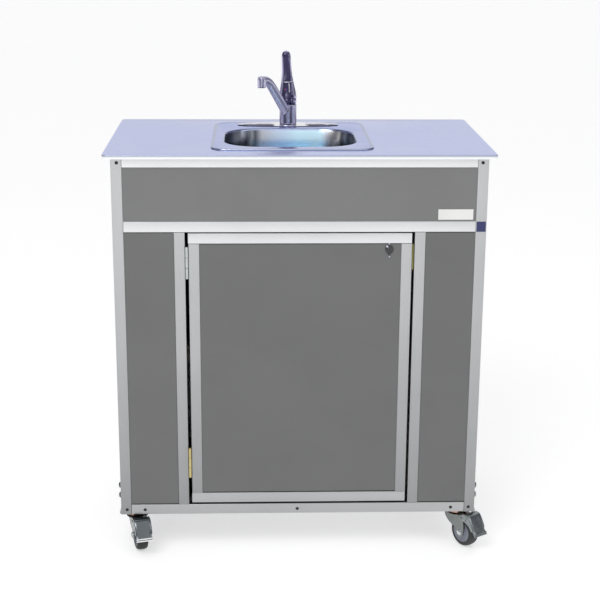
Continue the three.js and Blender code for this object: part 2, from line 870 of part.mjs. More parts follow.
// The brake pedal: a bent sheet with two side cheeks that hang on the fork's rivet.
function brakePedal() {
  const PEDAL_INSIDE = CHEEK_OUTSIDE + 0.4;
  const PEDAL_OUTSIDE = PEDAL_INSIDE + 2.2;
  const sheet = [
    [-47, -6],
    [-61, -6.5],
    [-66, -11],
    [-80, -33],
    [-84, -42],
    [-89.5, -48.5],
    [-90.5, -51.5],
    [-88.5, -53],
    [-85.5, -51.5],
    [-81, -44.5],
    [-77.5, -34.5],
    [-64, -13],
    [-60, -9.5],
    [-47, -9],
  ];
  const side = [
    [-33, -13],
    [-38, -11],
    [-47, -6],
    [-61, -6.5],
    [-66, -11],
    [-80, -33],
    [-84, -42],
    [-76, -44],
    [-66, -31],
    [-52, -26],
    [-38, -25.5],
    [-33, -24],
  ];
  const hole = [...PEDAL_PIVOT, PEDAL_RIVET + 0.3];
  return join(
    plateAcross(sheet, -PEDAL_OUTSIDE, PEDAL_OUTSIDE),
    plateAcross(side, PEDAL_INSIDE, PEDAL_OUTSIDE, hole),
    plateAcross(side, -PEDAL_OUTSIDE, -PEDAL_INSIDE, hole),
  );
}

const REAR_CASTER_Y = FRAME_DEPTH - CASTER_Y;
for (const [name, side] of sides) {
  const turn = side < 0 ? FRONT_LEFT_TURN : FRONT_RIGHT_TURN;
  const front = { x: side * CASTER_X, y: CASTER_Y, turn: 0 };
  const swivelled = { ...front, turn };
  const rear = { x: side * CASTER_X, y: REAR_CASTER_Y, turn: 0 };
  add("caster_front_" + name + "_plate", swivelPlate(), zinc, front);
  add("caster_front_" + name + "_fork", swivelFork(), zinc, swivelled);
  add("caster_front_" + name + "_wheel", wheel(-CASTER_TRAIL), rubber, swivelled);
  add("caster_front_" + name + "_pedal", brakePedal(), zinc, swivelled);
  add("caster_rear_" + name + "_fork", rigidFork(), zinc, rear);
  add("caster_rear_" + name + "_wheel", wheel(0), rubber, rear);
}

// ---- water system -------------------------------------------------------------------------
const STAND_Z = FLOOR_Z + GAP;
const TANK_WALL = 3;
const NECK_INSIDE = 26;

// A blow-moulded jug with an open neck over the point given by neckX and neckY.
function tank(x, y, width, length, height, neckX, neckY, neckTop) {
  const outside = (inset, corner, z) =>
    roundedRing(x, y, width - 2 * inset, length - 2 * inset, corner, z, 5);
  const neck = (radius, z) => circleRing(neckX, neckY, radius, z, 5);
  const foot = STAND_Z;
  const head = STAND_Z + height;
  const neckOutside = NECK_INSIDE + TANK_WALL;
  return skin([
    outside(10, 16, foot),
    outside(2.5, 22, foot + 3),
    outside(0, 24, foot + 10),
    outside(0, 24, head - 20),
    outside(5, 24, head - 7),
    outside(16, 26, head),
    neck(neckOutside + 4, head + 6),
    neck(neckOutside, head + 8),
    neck(neckOutside, neckTop),
    neck(NECK_INSIDE, neckTop),
    neck(NECK_INSIDE, head + 6),
    outside(17, 24, head - TANK_WALL),
    outside(8, 22, head - 9),
    outside(TANK_WALL, 21, head - 21),
    outside(TANK_WALL, 21, foot + 10),
    outside(11, 15, foot + TANK_WALL),
  ]);
}

const WASTE = { x: -18.5, y: 262, width: 244, length: 340, height: 325, neckTop: 374 };
add(
  "tank_waste",
  tank(WASTE.x, WASTE.y, WASTE.width, WASTE.length, WASTE.height, BOWL_X, BOWL_Y, WASTE.neckTop),
  greyPlastic,
);
const FRESH = { x: 242, y: 262, width: 232, length: 330, height: 315, neckTop: 366 };
add(
  "tank_fresh",
  tank(FRESH.x, FRESH.y, FRESH.width, FRESH.length, FRESH.height, FRESH.x, FRESH.y, FRESH.neckTop),
  clearPlastic,
);
const HOSE_RADIUS = 8;
const NECK_OUTSIDE = NECK_INSIDE + TANK_WALL;
const CAP_TOP = FRESH.neckTop + 4.5;
add(
  "tank_fresh_cap",
  turned(
    [
      [NECK_OUTSIDE + 0.6, 352],
      [NECK_OUTSIDE + 0.6, FRESH.neckTop + 0.5],
      [HOSE_RADIUS + 0.6, FRESH.neckTop + 0.5],
      [HOSE_RADIUS + 0.6, CAP_TOP],
      [NECK_OUTSIDE + 3.4, CAP_TOP],
      [NECK_OUTSIDE + 4.2, CAP_TOP - 1.5],
      [NECK_OUTSIDE + 4.2, 352],
    ],
    FRESH.x,
    FRESH.y,
  ),
  blackPlastic,
);

const HEATER = { x0: -395, x1: -160, y0: 185, y1: 455, top: 372 };
const COLD_IN = [-215, 262];
const HOT_OUT = [-335, 262];
const heaterRing = (inset, corner, z) =>
  roundedRing(
    (HEATER.x0 + HEATER.x1) / 2,
    (HEATER.y0 + HEATER.y1) / 2,
    HEATER.x1 - HEATER.x0 - 2 * inset,
    HEATER.y1 - HEATER.y0 - 2 * inset,
    corner,
    z,
    4,
  );
const NIPPLE = 9;
const TEE_Z = 394;
add(
  "water_heater",
  join(
    skin([
      heaterRing(6, 14, STAND_Z),
      heaterRing(0, 20, STAND_Z + 6),
      heaterRing(0, 20, HEATER.top - 6),
      heaterRing(6, 14, HEATER.top),
    ]),
    cylinder("z", NIPPLE, HEATER.top - 1, 410, ...COLD_IN, 16),
    cylinder("x", NIPPLE, COLD_IN[0], COLD_IN[0] + 24, COLD_IN[1], TEE_Z, 16),
    cylinder("z", NIPPLE, HEATER.top - 1, 396, ...HOT_OUT, 16),
  ),
  whitePlastic,
);

const PUMP = { y: 95, z: 78, motorStart: -385, headStart: -265, headEnd: -200 };
add(
  "pump",
  join(
    cylinder("x", 34, PUMP.motorStart, PUMP.headStart + 1, PUMP.y, PUMP.z, 28),
    box(PUMP.headStart, PUMP.headEnd, PUMP.y - 38, PUMP.y + 38, PUMP.z - 42, PUMP.z + 40),
    box(-360, -225, PUMP.y - 46, PUMP.y + 46, STAND_Z, STAND_Z + 6),
    box(-345, -325, PUMP.y - 20, PUMP.y + 20, STAND_Z + 5, PUMP.z - 20),
    box(-262, -225, PUMP.y - 20, PUMP.y + 20, STAND_Z + 5, PUMP.z - 20),
    cylinder("x", NIPPLE, PUMP.headEnd - 1, PUMP.headEnd + 18, PUMP.y, PUMP.z, 16),
    cylinder("z", NIPPLE, PUMP.z + 39, PUMP.z + 58, -232, PUMP.y, 16),
  ),
  blackPlastic,
);

const PUMP_INLET_X = PUMP.headEnd + 18 + GAP;
add(
  "hose_suction",
  tube(
    [
      [FRESH.x, FRESH.y, 42],
      [FRESH.x, FRESH.y, 200],
      [FRESH.x, FRESH.y, 372],
      [FRESH.x, FRESH.y, 400],
      [205, 200, 452],
      [110, 105, 462],
      [0, 66, 430],
      [-90, 62, 330],
      [-132, 68, 200],
      [-140, 84, 108],
      [-160, PUMP.y, PUMP.z],
      [PUMP_INLET_X, PUMP.y, PUMP.z],
    ],
    HOSE_RADIUS,
    42,
  ),
  clearPlastic,
);
add(
  "hose_feed",
  tube(
    [
      [-232, PUMP.y, PUMP.z + 58 + GAP],
      [-232, PUMP.y, 230],
      [-230, 104, 390],
      [-222, 150, 450],
      [-215, 225, 458],
      [...COLD_IN, 430],
      [...COLD_IN, 410 + GAP],
    ],
    HOSE_RADIUS,
    24,
  ),
  blueHose,
);
add(
  "hose_cold",
  tube(
    [
      [COLD_IN[0] + 24 + GAP, COLD_IN[1], TEE_Z],
      [-172, COLD_IN[1], TEE_Z],
      [-120, 300, 430],
      [-50, 400, 540],
      [10, 440, 680],
      [shankXs[1], FAUCET_Y + 8, 775],
      [shankXs[1], FAUCET_Y, SHANK_END_Z - 20],
      [shankXs[1], FAUCET_Y, SHANK_END_Z - GAP],
    ],
    HOSE_RADIUS,
    26,
  ),
  blueHose,
);
add(
  "hose_hot",
  tube(
    [
      [...HOT_OUT, 396 + GAP],
      [...HOT_OUT, 425],
      [-325, 300, 500],
      [-240, 390, 610],
      [-130, 430, 710],
      [shankXs[0], FAUCET_Y + 8, 775],
      [shankXs[0], FAUCET_Y, SHANK_END_Z - 20],
      [shankXs[0], FAUCET_Y, SHANK_END_Z - GAP],
    ],
    HOSE_RADIUS,
    26,
  ),
  redHose,
);

export default part;
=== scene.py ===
"""Looks for the portable handwash sink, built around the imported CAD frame."""

import math
from itertools import product

import bmesh
import bpy
from mathutils import Matrix, Vector


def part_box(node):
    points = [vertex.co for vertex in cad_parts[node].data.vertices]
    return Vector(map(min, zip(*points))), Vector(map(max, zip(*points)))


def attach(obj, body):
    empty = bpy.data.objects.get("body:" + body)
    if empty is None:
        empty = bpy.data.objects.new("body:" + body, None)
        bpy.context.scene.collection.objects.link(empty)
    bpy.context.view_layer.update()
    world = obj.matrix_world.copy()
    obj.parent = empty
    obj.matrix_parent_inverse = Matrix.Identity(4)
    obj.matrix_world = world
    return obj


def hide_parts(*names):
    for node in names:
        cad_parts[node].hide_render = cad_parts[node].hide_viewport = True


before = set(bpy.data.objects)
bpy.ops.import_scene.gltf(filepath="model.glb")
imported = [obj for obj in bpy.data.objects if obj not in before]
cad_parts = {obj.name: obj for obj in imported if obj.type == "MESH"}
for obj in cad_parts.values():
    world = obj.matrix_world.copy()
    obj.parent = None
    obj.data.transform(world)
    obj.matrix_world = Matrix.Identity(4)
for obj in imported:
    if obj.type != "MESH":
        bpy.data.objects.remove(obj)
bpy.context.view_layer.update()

MM = 0.001
HALF_WIDTH = 431  # from the cabinet's middle to the outside of its posts
DEPTH = 502
TUBE = 25.4
FRAME_TOP = 880
TOP_Z = 886  # top of the worktop
TOP_OVERHANG = 18  # how far the worktop reaches past the front face
DECK_Z = TOP_Z + 2.4  # the sink's ledge
BOWL_LIP = 884  # where the ledge has rolled down into the bowl
BOWL_AT = (-18.5, 222)  # middle of the bowl and its drain
FAUCET = (-18.5, 408)  # axis of the faucet's body

# The cabinet's own frame, in millimetres: X from its middle, Y back from its front face, Z up
# from its underside. at() turns such a point into the row's frame, in metres.
POST_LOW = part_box("post_front_left")[0]
ORIGIN = Vector((POST_LOW.x + HALF_WIDTH * MM, POST_LOW.y, POST_LOW.z))


def at(x, y, z):
    return ORIGIN + Vector((x, y, z)) * MM


# ---- materials ----------------------------------------------------------------------------
# Heights of the relief, in metres.
LINE_DEPTH = 0.00002
GRIT_DEPTH = 0.00001


def ramp_of(tree, value, stops):
    """Colours at places from 0 to 1 along a value."""
    ramp = tree.nodes.new("ShaderNodeValToRGB")
    tree.links.new(value, ramp.inputs[0])
    elements = ramp.color_ramp.elements
    while len(elements) < len(stops):
        elements.new(0.5)
    for element, (spot, colour) in zip(elements, stops):
        element.position = spot
        element.color = (*colour, 1)
    return ramp.outputs[0]


def remap_of(tree, value, low, high, to_low=0.0, to_high=1.0):
    """A value carried from one range to another."""
    node = tree.nodes.new("ShaderNodeMapRange")
    for socket, number in zip(node.inputs[1:5], (low, high, to_low, to_high)):
        socket.default_value = number
    tree.links.new(value, node.inputs[0])
    return node.outputs[0]


class Surface:
    """A Principled material built up from noise, places on the object and the angle of view."""

    def __init__(self, name, metallic=0.0, roughness=0.5, **sockets):
        self.material = bpy.data.materials.new(name)
        self.material.use_nodes = True
        self.nodes = self.material.node_tree.nodes
        self.links = self.material.node_tree.links
        self.shader = self.nodes["Principled BSDF"]
        self.shader.inputs["Metallic"].default_value = metallic
        self.shader.inputs["Roughness"].default_value = roughness
        for socket, value in sockets.items():
            self.shader.inputs[socket.replace("_", " ")].default_value = value
        self.place = self.nodes.new("ShaderNodeTexCoord").outputs["Object"]
        self.normal = None

    def noise(self, scale, detail, stretch=(1, 1, 1), distortion=0.0):
        mapping = self.nodes.new("ShaderNodeMapping")
        mapping.inputs["Scale"].default_value = stretch
        self.links.new(self.place, mapping.inputs["Vector"])
        node = self.nodes.new("ShaderNodeTexNoise")
        node.inputs["Scale"].default_value = scale
        node.inputs["Detail"].default_value = detail
        node.inputs["Distortion"].default_value = distortion
        self.links.new(mapping.outputs[0], node.inputs["Vector"])
        return node.outputs[0]

    def remap(self, value, *numbers):
        return remap_of(self, value, *numbers)

    def patches(self, scale, detail, distortion=0.0):
        """0 to 1, in soft patches."""
        return self.remap(self.noise(scale, detail, distortion=distortion), 0.35, 0.65)

    def blend(self, value, first, second):
        node = self.nodes.new("ShaderNodeMix")
        node.data_type = "RGBA"
        self.links.new(value, node.inputs["Factor"])
        for socket, colour in ((node.inputs[6], first), (node.inputs[7], second)):
            if isinstance(colour, (tuple, list)):
                socket.default_value = (*colour, 1)
            else:
                self.links.new(colour, socket)
        return node.outputs[2]

    def maths(self, operation, a, b=0.0):
        node = self.nodes.new("ShaderNodeMath")
        node.operation = operation
        self.links.new(a, node.inputs[0])
        if isinstance(b, (int, float)):
            node.inputs[1].default_value = b
        else:
            self.links.new(b, node.inputs[1])
        return node.outputs[0]

    def along(self, axis, start=0.0):
        """Distance in metres along an axis, counted from start."""
        node = self.nodes.new("ShaderNodeSeparateXYZ")
        self.links.new(self.place, node.inputs[0])
        return self.maths("ADD", node.outputs[axis], -start) if start else node.outputs[axis]

    def facing(self):
        """0 on faces seen square on, rising to 1 on faces seen edge on."""
        node = self.nodes.new("ShaderNodeLayerWeight")
        node.inputs["Blend"].default_value = 0.5
        return node.outputs["Facing"]

    def colour(self, output):
        self.links.new(output, self.shader.inputs["Base Color"])

    def roughness(self, output):
        self.links.new(output, self.shader.inputs["Roughness"])

    def smudged(self, rough, scale=14, detail=6, distortion=0.0):
        """Roughness between two values, in patches."""
        return self.remap(self.noise(scale, detail, distortion=distortion), 0.3, 0.7, *rough)

    def bump(self, value, strength, distance):
        node = self.nodes.new("ShaderNodeBump")
        node.inputs["Strength"].default_value = strength
        node.inputs["Distance"].default_value = distance
        self.links.new(value, node.inputs["Height"])
        if self.normal is not None:
            self.links.new(self.normal, node.inputs["Normal"])
        self.normal = node.outputs[0]
        self.links.new(self.normal, self.shader.inputs["Normal"])

    def grit(self, strength):
        self.bump(self.noise(2200, 2), strength, GRIT_DEPTH)

    def brushed(self, axis, scale, rough):
        """Fine lines along one axis, in the roughness and in the relief."""
        stretch = [1.0, 1.0, 1.0]
        stretch["xyz".index(axis)] = 0.02
        streak = self.noise(scale, 3, stretch)
        spread = self.remap(streak, 0.3, 0.7, -0.05, 0.05)
        self.roughness(self.maths("ADD", self.smudged(rough, distortion=0.6), spread))
        self.bump(streak, 0.35, LINE_DEPTH)


FLOOR_SHADE_LOW, FLOOR_SHADE_HIGH = 0.10, 0.90  # metres above the floor, between which painted shade darkens metal towards the floor


def metal(name, dark, light, rough, lines=None, line_scale=900, floor_shade=1):
    """Metal that wanders between two tones, with painted shade that darkens it towards the floor where
    its shade factor is below 1.
    """
    s = Surface(name, metallic=1.0)
    patches = s.patches(3.5, 5)
    tone = s.blend(patches, dark, light)
    if floor_shade < 1:
        # A darker copy of both tones, as painted shade near the floor.
        low = s.blend(patches, [c * floor_shade for c in dark], [c * floor_shade for c in light])
        tone = s.blend(s.remap(s.along(2), FLOOR_SHADE_LOW, FLOOR_SHADE_HIGH), low, tone)
    s.colour(tone)
    if lines:
        s.brushed(lines, line_scale, rough)
    else:
        s.roughness(s.smudged(rough, distortion=0.6))
    s.grit(0.15)
    return s.material


def painted(name, dark, light, rough, peel=700, peel_depth=0.00004):
    """Paint, plastic or rubber with a fine orange peel."""
    s = Surface(name)
    s.colour(s.blend(s.patches(5, 5, 0.4), dark, light))
    s.roughness(s.smudged(rough, 22, 5))
    s.bump(s.noise(peel, 2), 0.5, peel_depth)
    return s.material


def milky(name, dark, light):
    """Cloudy plastic that lets some light through."""
    s = Surface(name, Transmission_Weight=0.35, IOR=1.45)
    s.colour(s.blend(s.patches(6, 4), dark, light))
    s.roughness(s.smudged((0.3, 0.5), 30, 4))
    s.bump(s.noise(60, 3), 0.3, 0.0003)
    return s.material


def polished(name, dark, pale, rough, stops, ripple_size, metallic):
    """Chrome whose colour paints in its reflections, between two tones by stops that run from faces
    seen square on to edges.
    """
    s = Surface(name, metallic=metallic)
    ripple = s.remap(s.noise(150, 3, (1, 1, 0.08)), 0.32, 0.68, -ripple_size, ripple_size)
    tones = []
    for spot, share in stops:
        tones.append((spot, [d + (p - d) * share for d, p in zip(dark, pale)]))
    s.colour(ramp_of(s, s.maths("ADD", s.facing(), ripple), tones))
    s.roughness(s.smudged(rough))
    s.grit(0.12)
    return s.material


def low_view(s, above, low):
    """A painted reflection: one colour seen from above, another seen at a low angle."""
    return s.blend(s.remap(s.facing(), 0.4, 0.66), above, low)


def worktop_steel():
    """Brushed along its length. Its colour paints in reflections: a sky on the top that changes with
    the angle of view, dark lines near the front and along the fold, and a pale highlight where the
    sheet turns down.
    """
    s = Surface("satin_worktop", metallic=1.0, Anisotropic=0.5)
    pale, line, turned = (0.86, 0.875, 0.90), (0.42, 0.49, 0.72), (0.58, 0.595, 0.63)
    patches = s.patches(3.5, 5)
    # The lavender of the sky, as painted reflection.
    sky_reflection = s.blend(patches, (0.56, 0.615, 0.915), (0.575, 0.63, 0.925))
    flat = low_view(s, (0.60, 0.625, 0.74), sky_reflection)
    front = at(0, -TOP_OVERHANG, 0).y
    top = s.blend(s.remap(s.along(1), front + 0.005, front + 0.008), line, flat)
    level = at(0, 0, TOP_Z).z
    drop = s.remap(s.along(2), level - 0.008, level)
    # Down the turned edge: a pale painted highlight low down, a grey painted reflection above it and a
    # dark line of painted reflection at the fold.
    stops = [(0.0, pale), (0.42, pale), (0.56, turned), (0.84, turned), (0.9, line)]
    on_top = s.remap(s.along(2), level - 0.0007, level - 0.0003)
    s.colour(s.blend(on_top, ramp_of(s, drop, stops), top))
    s.brushed("x", 1100, (0.28, 0.31))
    s.grit(0.15)
    return s.material


def plate_chrome():
    """The deck plate, with painted reflections. At a low angle it shows a dark front, darker behind the
    faucet's axis, and a white highlight by the faucet.
    """
    s = Surface("deck_plate_chrome", metallic=1.0)
    dark, rolled = (0.06, 0.05, 0.11), (0.2, 0.18, 0.3)
    above, low, back = (0.58, 0.59, 0.68), (0.72, 0.72, 0.86), (0.16, 0.15, 0.26)
    spread = s.remap(s.noise(60, 3, (1, 0.4, 1)), 0.32, 0.68, -0.006, 0.006)
    stops = [(0.0, above), (0.28, above), (0.37, dark), (0.52, dark), (0.6, rolled), (0.68, low)]
    body = ramp_of(s, s.maths("ADD", s.facing(), spread), stops)
    # A white painted highlight near the faucet's foot.
    aside = s.maths("ABSOLUTE", s.along(0, at(FAUCET[0] + 4.5, 0, 0).x))
    near_foot = s.remap(s.maths("ADD", aside, spread), 0.036, 0.046)
    depth = s.along(1, at(0, FAUCET[1], 0).y)
    front = s.blend(s.remap(s.maths("ADD", depth, spread), -0.014, -0.009), dark, body)
    sides = s.blend(s.remap(depth, 0.018, 0.020), front, back)
    mirrored_low = s.blend(near_foot, (0.95, 0.95, 0.98), sides)
    s.colour(s.blend(s.remap(s.facing(), 0.34, 0.4), body, mirrored_low))
    s.roughness(s.smudged((0.03, 0.08)))
    s.grit(0.12)
    return s.material


def pressed_steel():
    """The sink, with painted reflections: an even ledge that shows a sky and a darker line where it
    rolls, and a deep bowl whose walls show dark stripes of its own corners, a blue sky and a pale
    highlight.
    """
    s = Surface("pressed_steel", metallic=1.0)
    dark, grey = (0.08, 0.09, 0.12), (0.30, 0.32, 0.36)
    blue, lit = (0.62, 0.86, 1.0), (0.98, 0.96, 0.9)
    middle = at(*BOWL_AT, 0)
    lean = s.maths("MULTIPLY", s.along(1, middle.y), -0.16)
    wander = s.remap(s.noise(9, 3), 0.3, 0.7, -0.008, 0.008)
    across = s.maths("ADD", s.maths("ADD", s.along(0, middle.x), lean), wander)
    # Painted reflections across the bowl's walls, from end to end: dark and grey stripes, a blue
    # middle, a lit highlight, then dark stripes again.
    stops = [(0.0, dark), (0.07, grey), (0.10, dark), (0.14, grey), (0.17, dark)]
    stops += [(0.22, (0.5, 0.52, 0.58)), (0.36, (0.56, 0.68, 0.88)), (0.5, blue), (0.68, blue)]
    stops += [(0.75, (0.5, 0.53, 0.62)), (0.79, lit), (0.84, lit), (0.865, dark), (0.90, grey)]
    stops += [(0.93, dark), (1.0, grey)]
    walls = ramp_of(s, s.remap(across, -0.16, 0.16), stops)
    patches = s.patches(5, 4)
    sky_reflection = s.blend(patches, (0.38, 0.445, 0.80), (0.42, 0.485, 0.84))
    ledge = low_view(s, (0.54, 0.565, 0.66), sky_reflection)
    off_ledge = s.maths("ABSOLUTE", s.along(2, at(0, 0, DECK_Z).z))
    # A darker blue where the sheet leaves the flat ledge, as painted reflection.
    rim = s.blend(s.remap(off_ledge, 0.0002, 0.0006), ledge, (0.39, 0.44, 0.64))
    level = at(0, 0, BOWL_LIP).z
    s.colour(s.blend(s.remap(s.along(2), level - 0.002, level), walls, rim))
    s.roughness(s.smudged((0.2, 0.28)))
    s.bump(s.noise(900, 3, (0.02, 1, 1)), 0.3, LINE_DEPTH)
    return s.material


# The same satin aluminium in a copy for each direction of member. The uprights' copy is painted darker
# than the rails', as painted shade, and each copy gets painted shade towards the floor.
ALUMINIUM = {}
for axis, shade, floor_shade in (("x", 0.94, 0.55), ("y", 0.94, 0.55), ("z", 0.68, 0.53)):
    dark = [c * shade for c in (0.80, 0.815, 0.825)]
    light = [c * shade for c in (0.86, 0.87, 0.88)]
    name = "satin_aluminium_" + axis
    ALUMINIUM[axis] = metal(name, dark, light, (0.30, 0.40), axis, 700, floor_shade)
PANEL = painted("grey_panel", (0.134, 0.135, 0.135), (0.142, 0.143, 0.143), (0.42, 0.56))
# The upper front panel is the same grey as the others, made lighter as painted light from above.
LIT_UPPER_PANEL = painted("lit_upper_grey_panel", (0.173, 0.174, 0.174), (0.186, 0.187, 0.187), (0.42, 0.56))
BOARD = painted("floor_board", (0.30, 0.30, 0.31), (0.36, 0.36, 0.37), (0.5, 0.65))
WORKTOP = worktop_steel()
PLATE_CHROME = plate_chrome()
BOWL = pressed_steel()
STEEL = metal("satin_steel", (0.50, 0.53, 0.60), (0.58, 0.61, 0.68), (0.16, 0.26), "z")
# Stops of painted reflection on the lever and the spout: bands of dark where they face the viewer, pale
# towards their edges.
LEVER_STOPS = [(0.0, 0.0), (0.05, 0.02), (0.09, 0.3), (0.12, 0.35), (0.15, 0.02), (0.2, 0.05)]
LEVER_STOPS += [(0.28, 0.5), (0.4, 1.0)]
CHROME = polished(
    "polished_chrome", (0.05, 0.042, 0.10), (0.50, 0.48, 0.68), (0.06, 0.12), LEVER_STOPS, 0.1, 0.9
)
SPOUT_STOPS = [(0.0, 0.55), (0.03, 0.25), (0.07, 0.08), (0.12, 0.2), (0.17, 0.8), (0.3, 0.95)]
SPOUT_STOPS += [(0.5, 0.75), (0.75, 0.95)]
SPOUT_CHROME = polished(
    "spout_chrome", (0.09, 0.08, 0.16), (0.70, 0.68, 0.88), (0.16, 0.24), SPOUT_STOPS, 0.05, 0.62
)
# A near-white polished metal for painted highlights on the lever's ridge and the left pedal's lips.
HIGHLIGHT_METAL = metal("painted_highlight_metal", (0.86, 0.87, 0.90), (0.95, 0.95, 0.97), (0.06, 0.12))
ZINC = metal("bright_zinc", (0.42, 0.45, 0.46), (0.60, 0.63, 0.64), (0.16, 0.28))
FORK_ZINC = metal("fork_zinc", (0.15, 0.168, 0.162), (0.23, 0.25, 0.242), (0.18, 0.32))
DULL_ZINC = metal("dull_zinc", (0.30, 0.32, 0.32), (0.42, 0.44, 0.44), (0.35, 0.5))
BRASS = metal("yellow_zinc", (0.46, 0.36, 0.14), (0.62, 0.52, 0.26), (0.3, 0.45))
COPPER = metal("coppered_race", (0.42, 0.24, 0.19), (0.62, 0.40, 0.33), (0.18, 0.32))
# The left pedal's zinc, lighter and mottled as painted highlights.
HIGHLIT_PEDAL = metal("highlit_pedal_zinc", (0.16, 0.18, 0.19), (0.52, 0.55, 0.57), (0.14, 0.3))
RUBBER = painted("tread_rubber", (0.02, 0.021, 0.021), (0.036, 0.038, 0.037), (0.55, 0.75), 1500)
HUB = painted("hub_plastic", (0.19, 0.205, 0.25), (0.24, 0.255, 0.30), (0.35, 0.5), 900, 0.00002)
BLACK = painted("black_plastic", (0.005, 0.005, 0.006), (0.01, 0.01, 0.011), (0.45, 0.6), 1200)
PUMP_GREY = painted("pump_casting", (0.05, 0.052, 0.056), (0.08, 0.083, 0.088), (0.4, 0.55))
ENAMEL = painted("white_enamel", (0.74, 0.74, 0.72), (0.82, 0.82, 0.80), (0.2, 0.3), 300)
JUG_GREY = painted("grey_jug", (0.30, 0.31, 0.33), (0.36, 0.37, 0.39), (0.4, 0.5), 500, 0.0001)
HOSE_BLUE = painted("blue_hose", (0.03, 0.13, 0.36), (0.05, 0.18, 0.44), (0.25, 0.4))
HOSE_RED = painted("red_hose", (0.40, 0.035, 0.03), (0.48, 0.06, 0.05), (0.25, 0.4))
# Chrome for the lock, made dark as painted reflection of a dark surround.
DARK_METAL = metal("dark_lock_metal", (0.045, 0.045, 0.048), (0.10, 0.10, 0.105), (0.2, 0.34))
OLIVE = painted("olive_pad", (0.15, 0.14, 0.03), (0.26, 0.24, 0.07), (0.4, 0.55))
PEDAL = metal("pedal_zinc", (0.17, 0.19, 0.19), (0.28, 0.305, 0.305), (0.24, 0.38))
TAG_BLUE = painted("dark_blue_tag", (0.02, 0.025, 0.10), (0.03, 0.035, 0.13), (0.3, 0.45))
RED_DOT = painted("red_mark", (0.5, 0.03, 0.03), (0.6, 0.05, 0.05), (0.2, 0.3))
BLUE_DOT = painted("blue_mark", (0.03, 0.07, 0.45), (0.05, 0.1, 0.55), (0.2, 0.3))
MILKY = milky("milky_jug", (0.78, 0.81, 0.82), (0.86, 0.88, 0.88))
MILKY_HOSE = milky("milky_hose", (0.70, 0.73, 0.74), (0.78, 0.80, 0.80))


# ---- mesh helpers -------------------------------------------------------------------------
def piece(name, points, faces, body, material, slot, replaces=(), smooth=32, bevel=0.0):
    """A new mesh of points in metres, riding on a CAD body."""
    mesh = bpy.data.meshes.new(name)
    mesh.from_pydata(points, [], faces)
    work = bmesh.new()
    work.from_mesh(mesh)
    bmesh.ops.remove_doubles(work, verts=work.verts, dist=1e-6)
    bmesh.ops.recalc_face_normals(work, faces=work.faces)
    work.to_mesh(mesh)
    work.free()
    mesh.polygons.foreach_set("use_smooth", [True] * len(mesh.polygons))
    mesh.set_sharp_from_angle(angle=math.radians(smooth))
    mesh.materials.append(material)
    thing = bpy.data.objects.new(name, mesh)
    bpy.context.scene.collection.objects.link(thing)
    if bevel:
        edge = thing.modifiers.new("bevel", "BEVEL")
        edge.width = bevel * MM
        edge.segments = 3
        edge.limit_method = "ANGLE"
        edge.angle_limit = math.radians(35)
        edge.harden_normals = True
        if "sharp_edge" in mesh.attributes:
            mesh.attributes.remove(mesh.attributes["sharp_edge"])
    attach(thing, body)
    if replaces:
        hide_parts(*replaces)


def look(node, shape, body, material, slot, smooth=32, bevel=0.0):
    """A piece that takes the place of one CAD node."""
    piece("look_" + node, *shape, body, material, slot, [node], smooth, bevel)


def merged(*shapes):
    """Several (points, faces) as one."""
    points, faces = [], []
    for more_points, more_faces in shapes:
        start = len(points)
        faces += [tuple(i + start for i in face) for face in more_faces]
        points += more_points
    return points, faces


def moved(shape, matrix):
    points, faces = shape
    return [matrix @ p for p in points], faces


def flipped(profile, side):
    """A [radius, height] profile, mirrored where side is -1."""
    return [(radius, side * height) for radius, height in profile]


def loft(rings, looped=False):
    """A skin through rings of equal count, in millimetres of the cabinet's frame."""
    count = len(rings[0])
    points = [at(*p) for ring in rings for p in ring]
    faces = []
    last = len(rings) if looped else len(rings) - 1
    for r in range(last):
        a, b = r * count, (r + 1) % len(rings) * count
        for i in range(count):
            j = (i + 1) % count
            faces.append((a + i, a + j, b + j, b + i))
    if not looped:
        faces.append(tuple(range(count)))
        faces.append(tuple(range(len(points) - count, len(points))))
    return points, faces


def rounded_ring(x, y, width, length, corner, z, steps=12):
    """A level rectangle with round corners, about its middle."""
    ring = []
    for sx, sy, start in ((1, 1, 0), (-1, 1, 90), (-1, -1, 180), (1, -1, 270)):
        corner_x, corner_y = x + sx * (width / 2 - corner), y + sy * (length / 2 - corner)
        for i in range(steps + 1):
            angle = math.radians(start + 90 * i / steps)
            ring.append((corner_x + corner * math.cos(angle), corner_y + corner * math.sin(angle), z))
    return ring


def circle_ring(x, y, radius, z, steps=12):
    """Very nearly a circle, with as many points as a rounded_ring."""
    return rounded_ring(x, y, 2 * radius, 2 * radius, radius * 0.985, z, steps)


def box_shape(low, high):
    """Corners in millimetres of the cabinet's frame."""
    points = [at(*corner) for corner in product(*zip(low, high))]
    faces = [(0, 1, 3, 2), (4, 6, 7, 5), (0, 4, 5, 1), (2, 3, 7, 6), (0, 2, 6, 4), (1, 5, 7, 3)]
    return points, faces


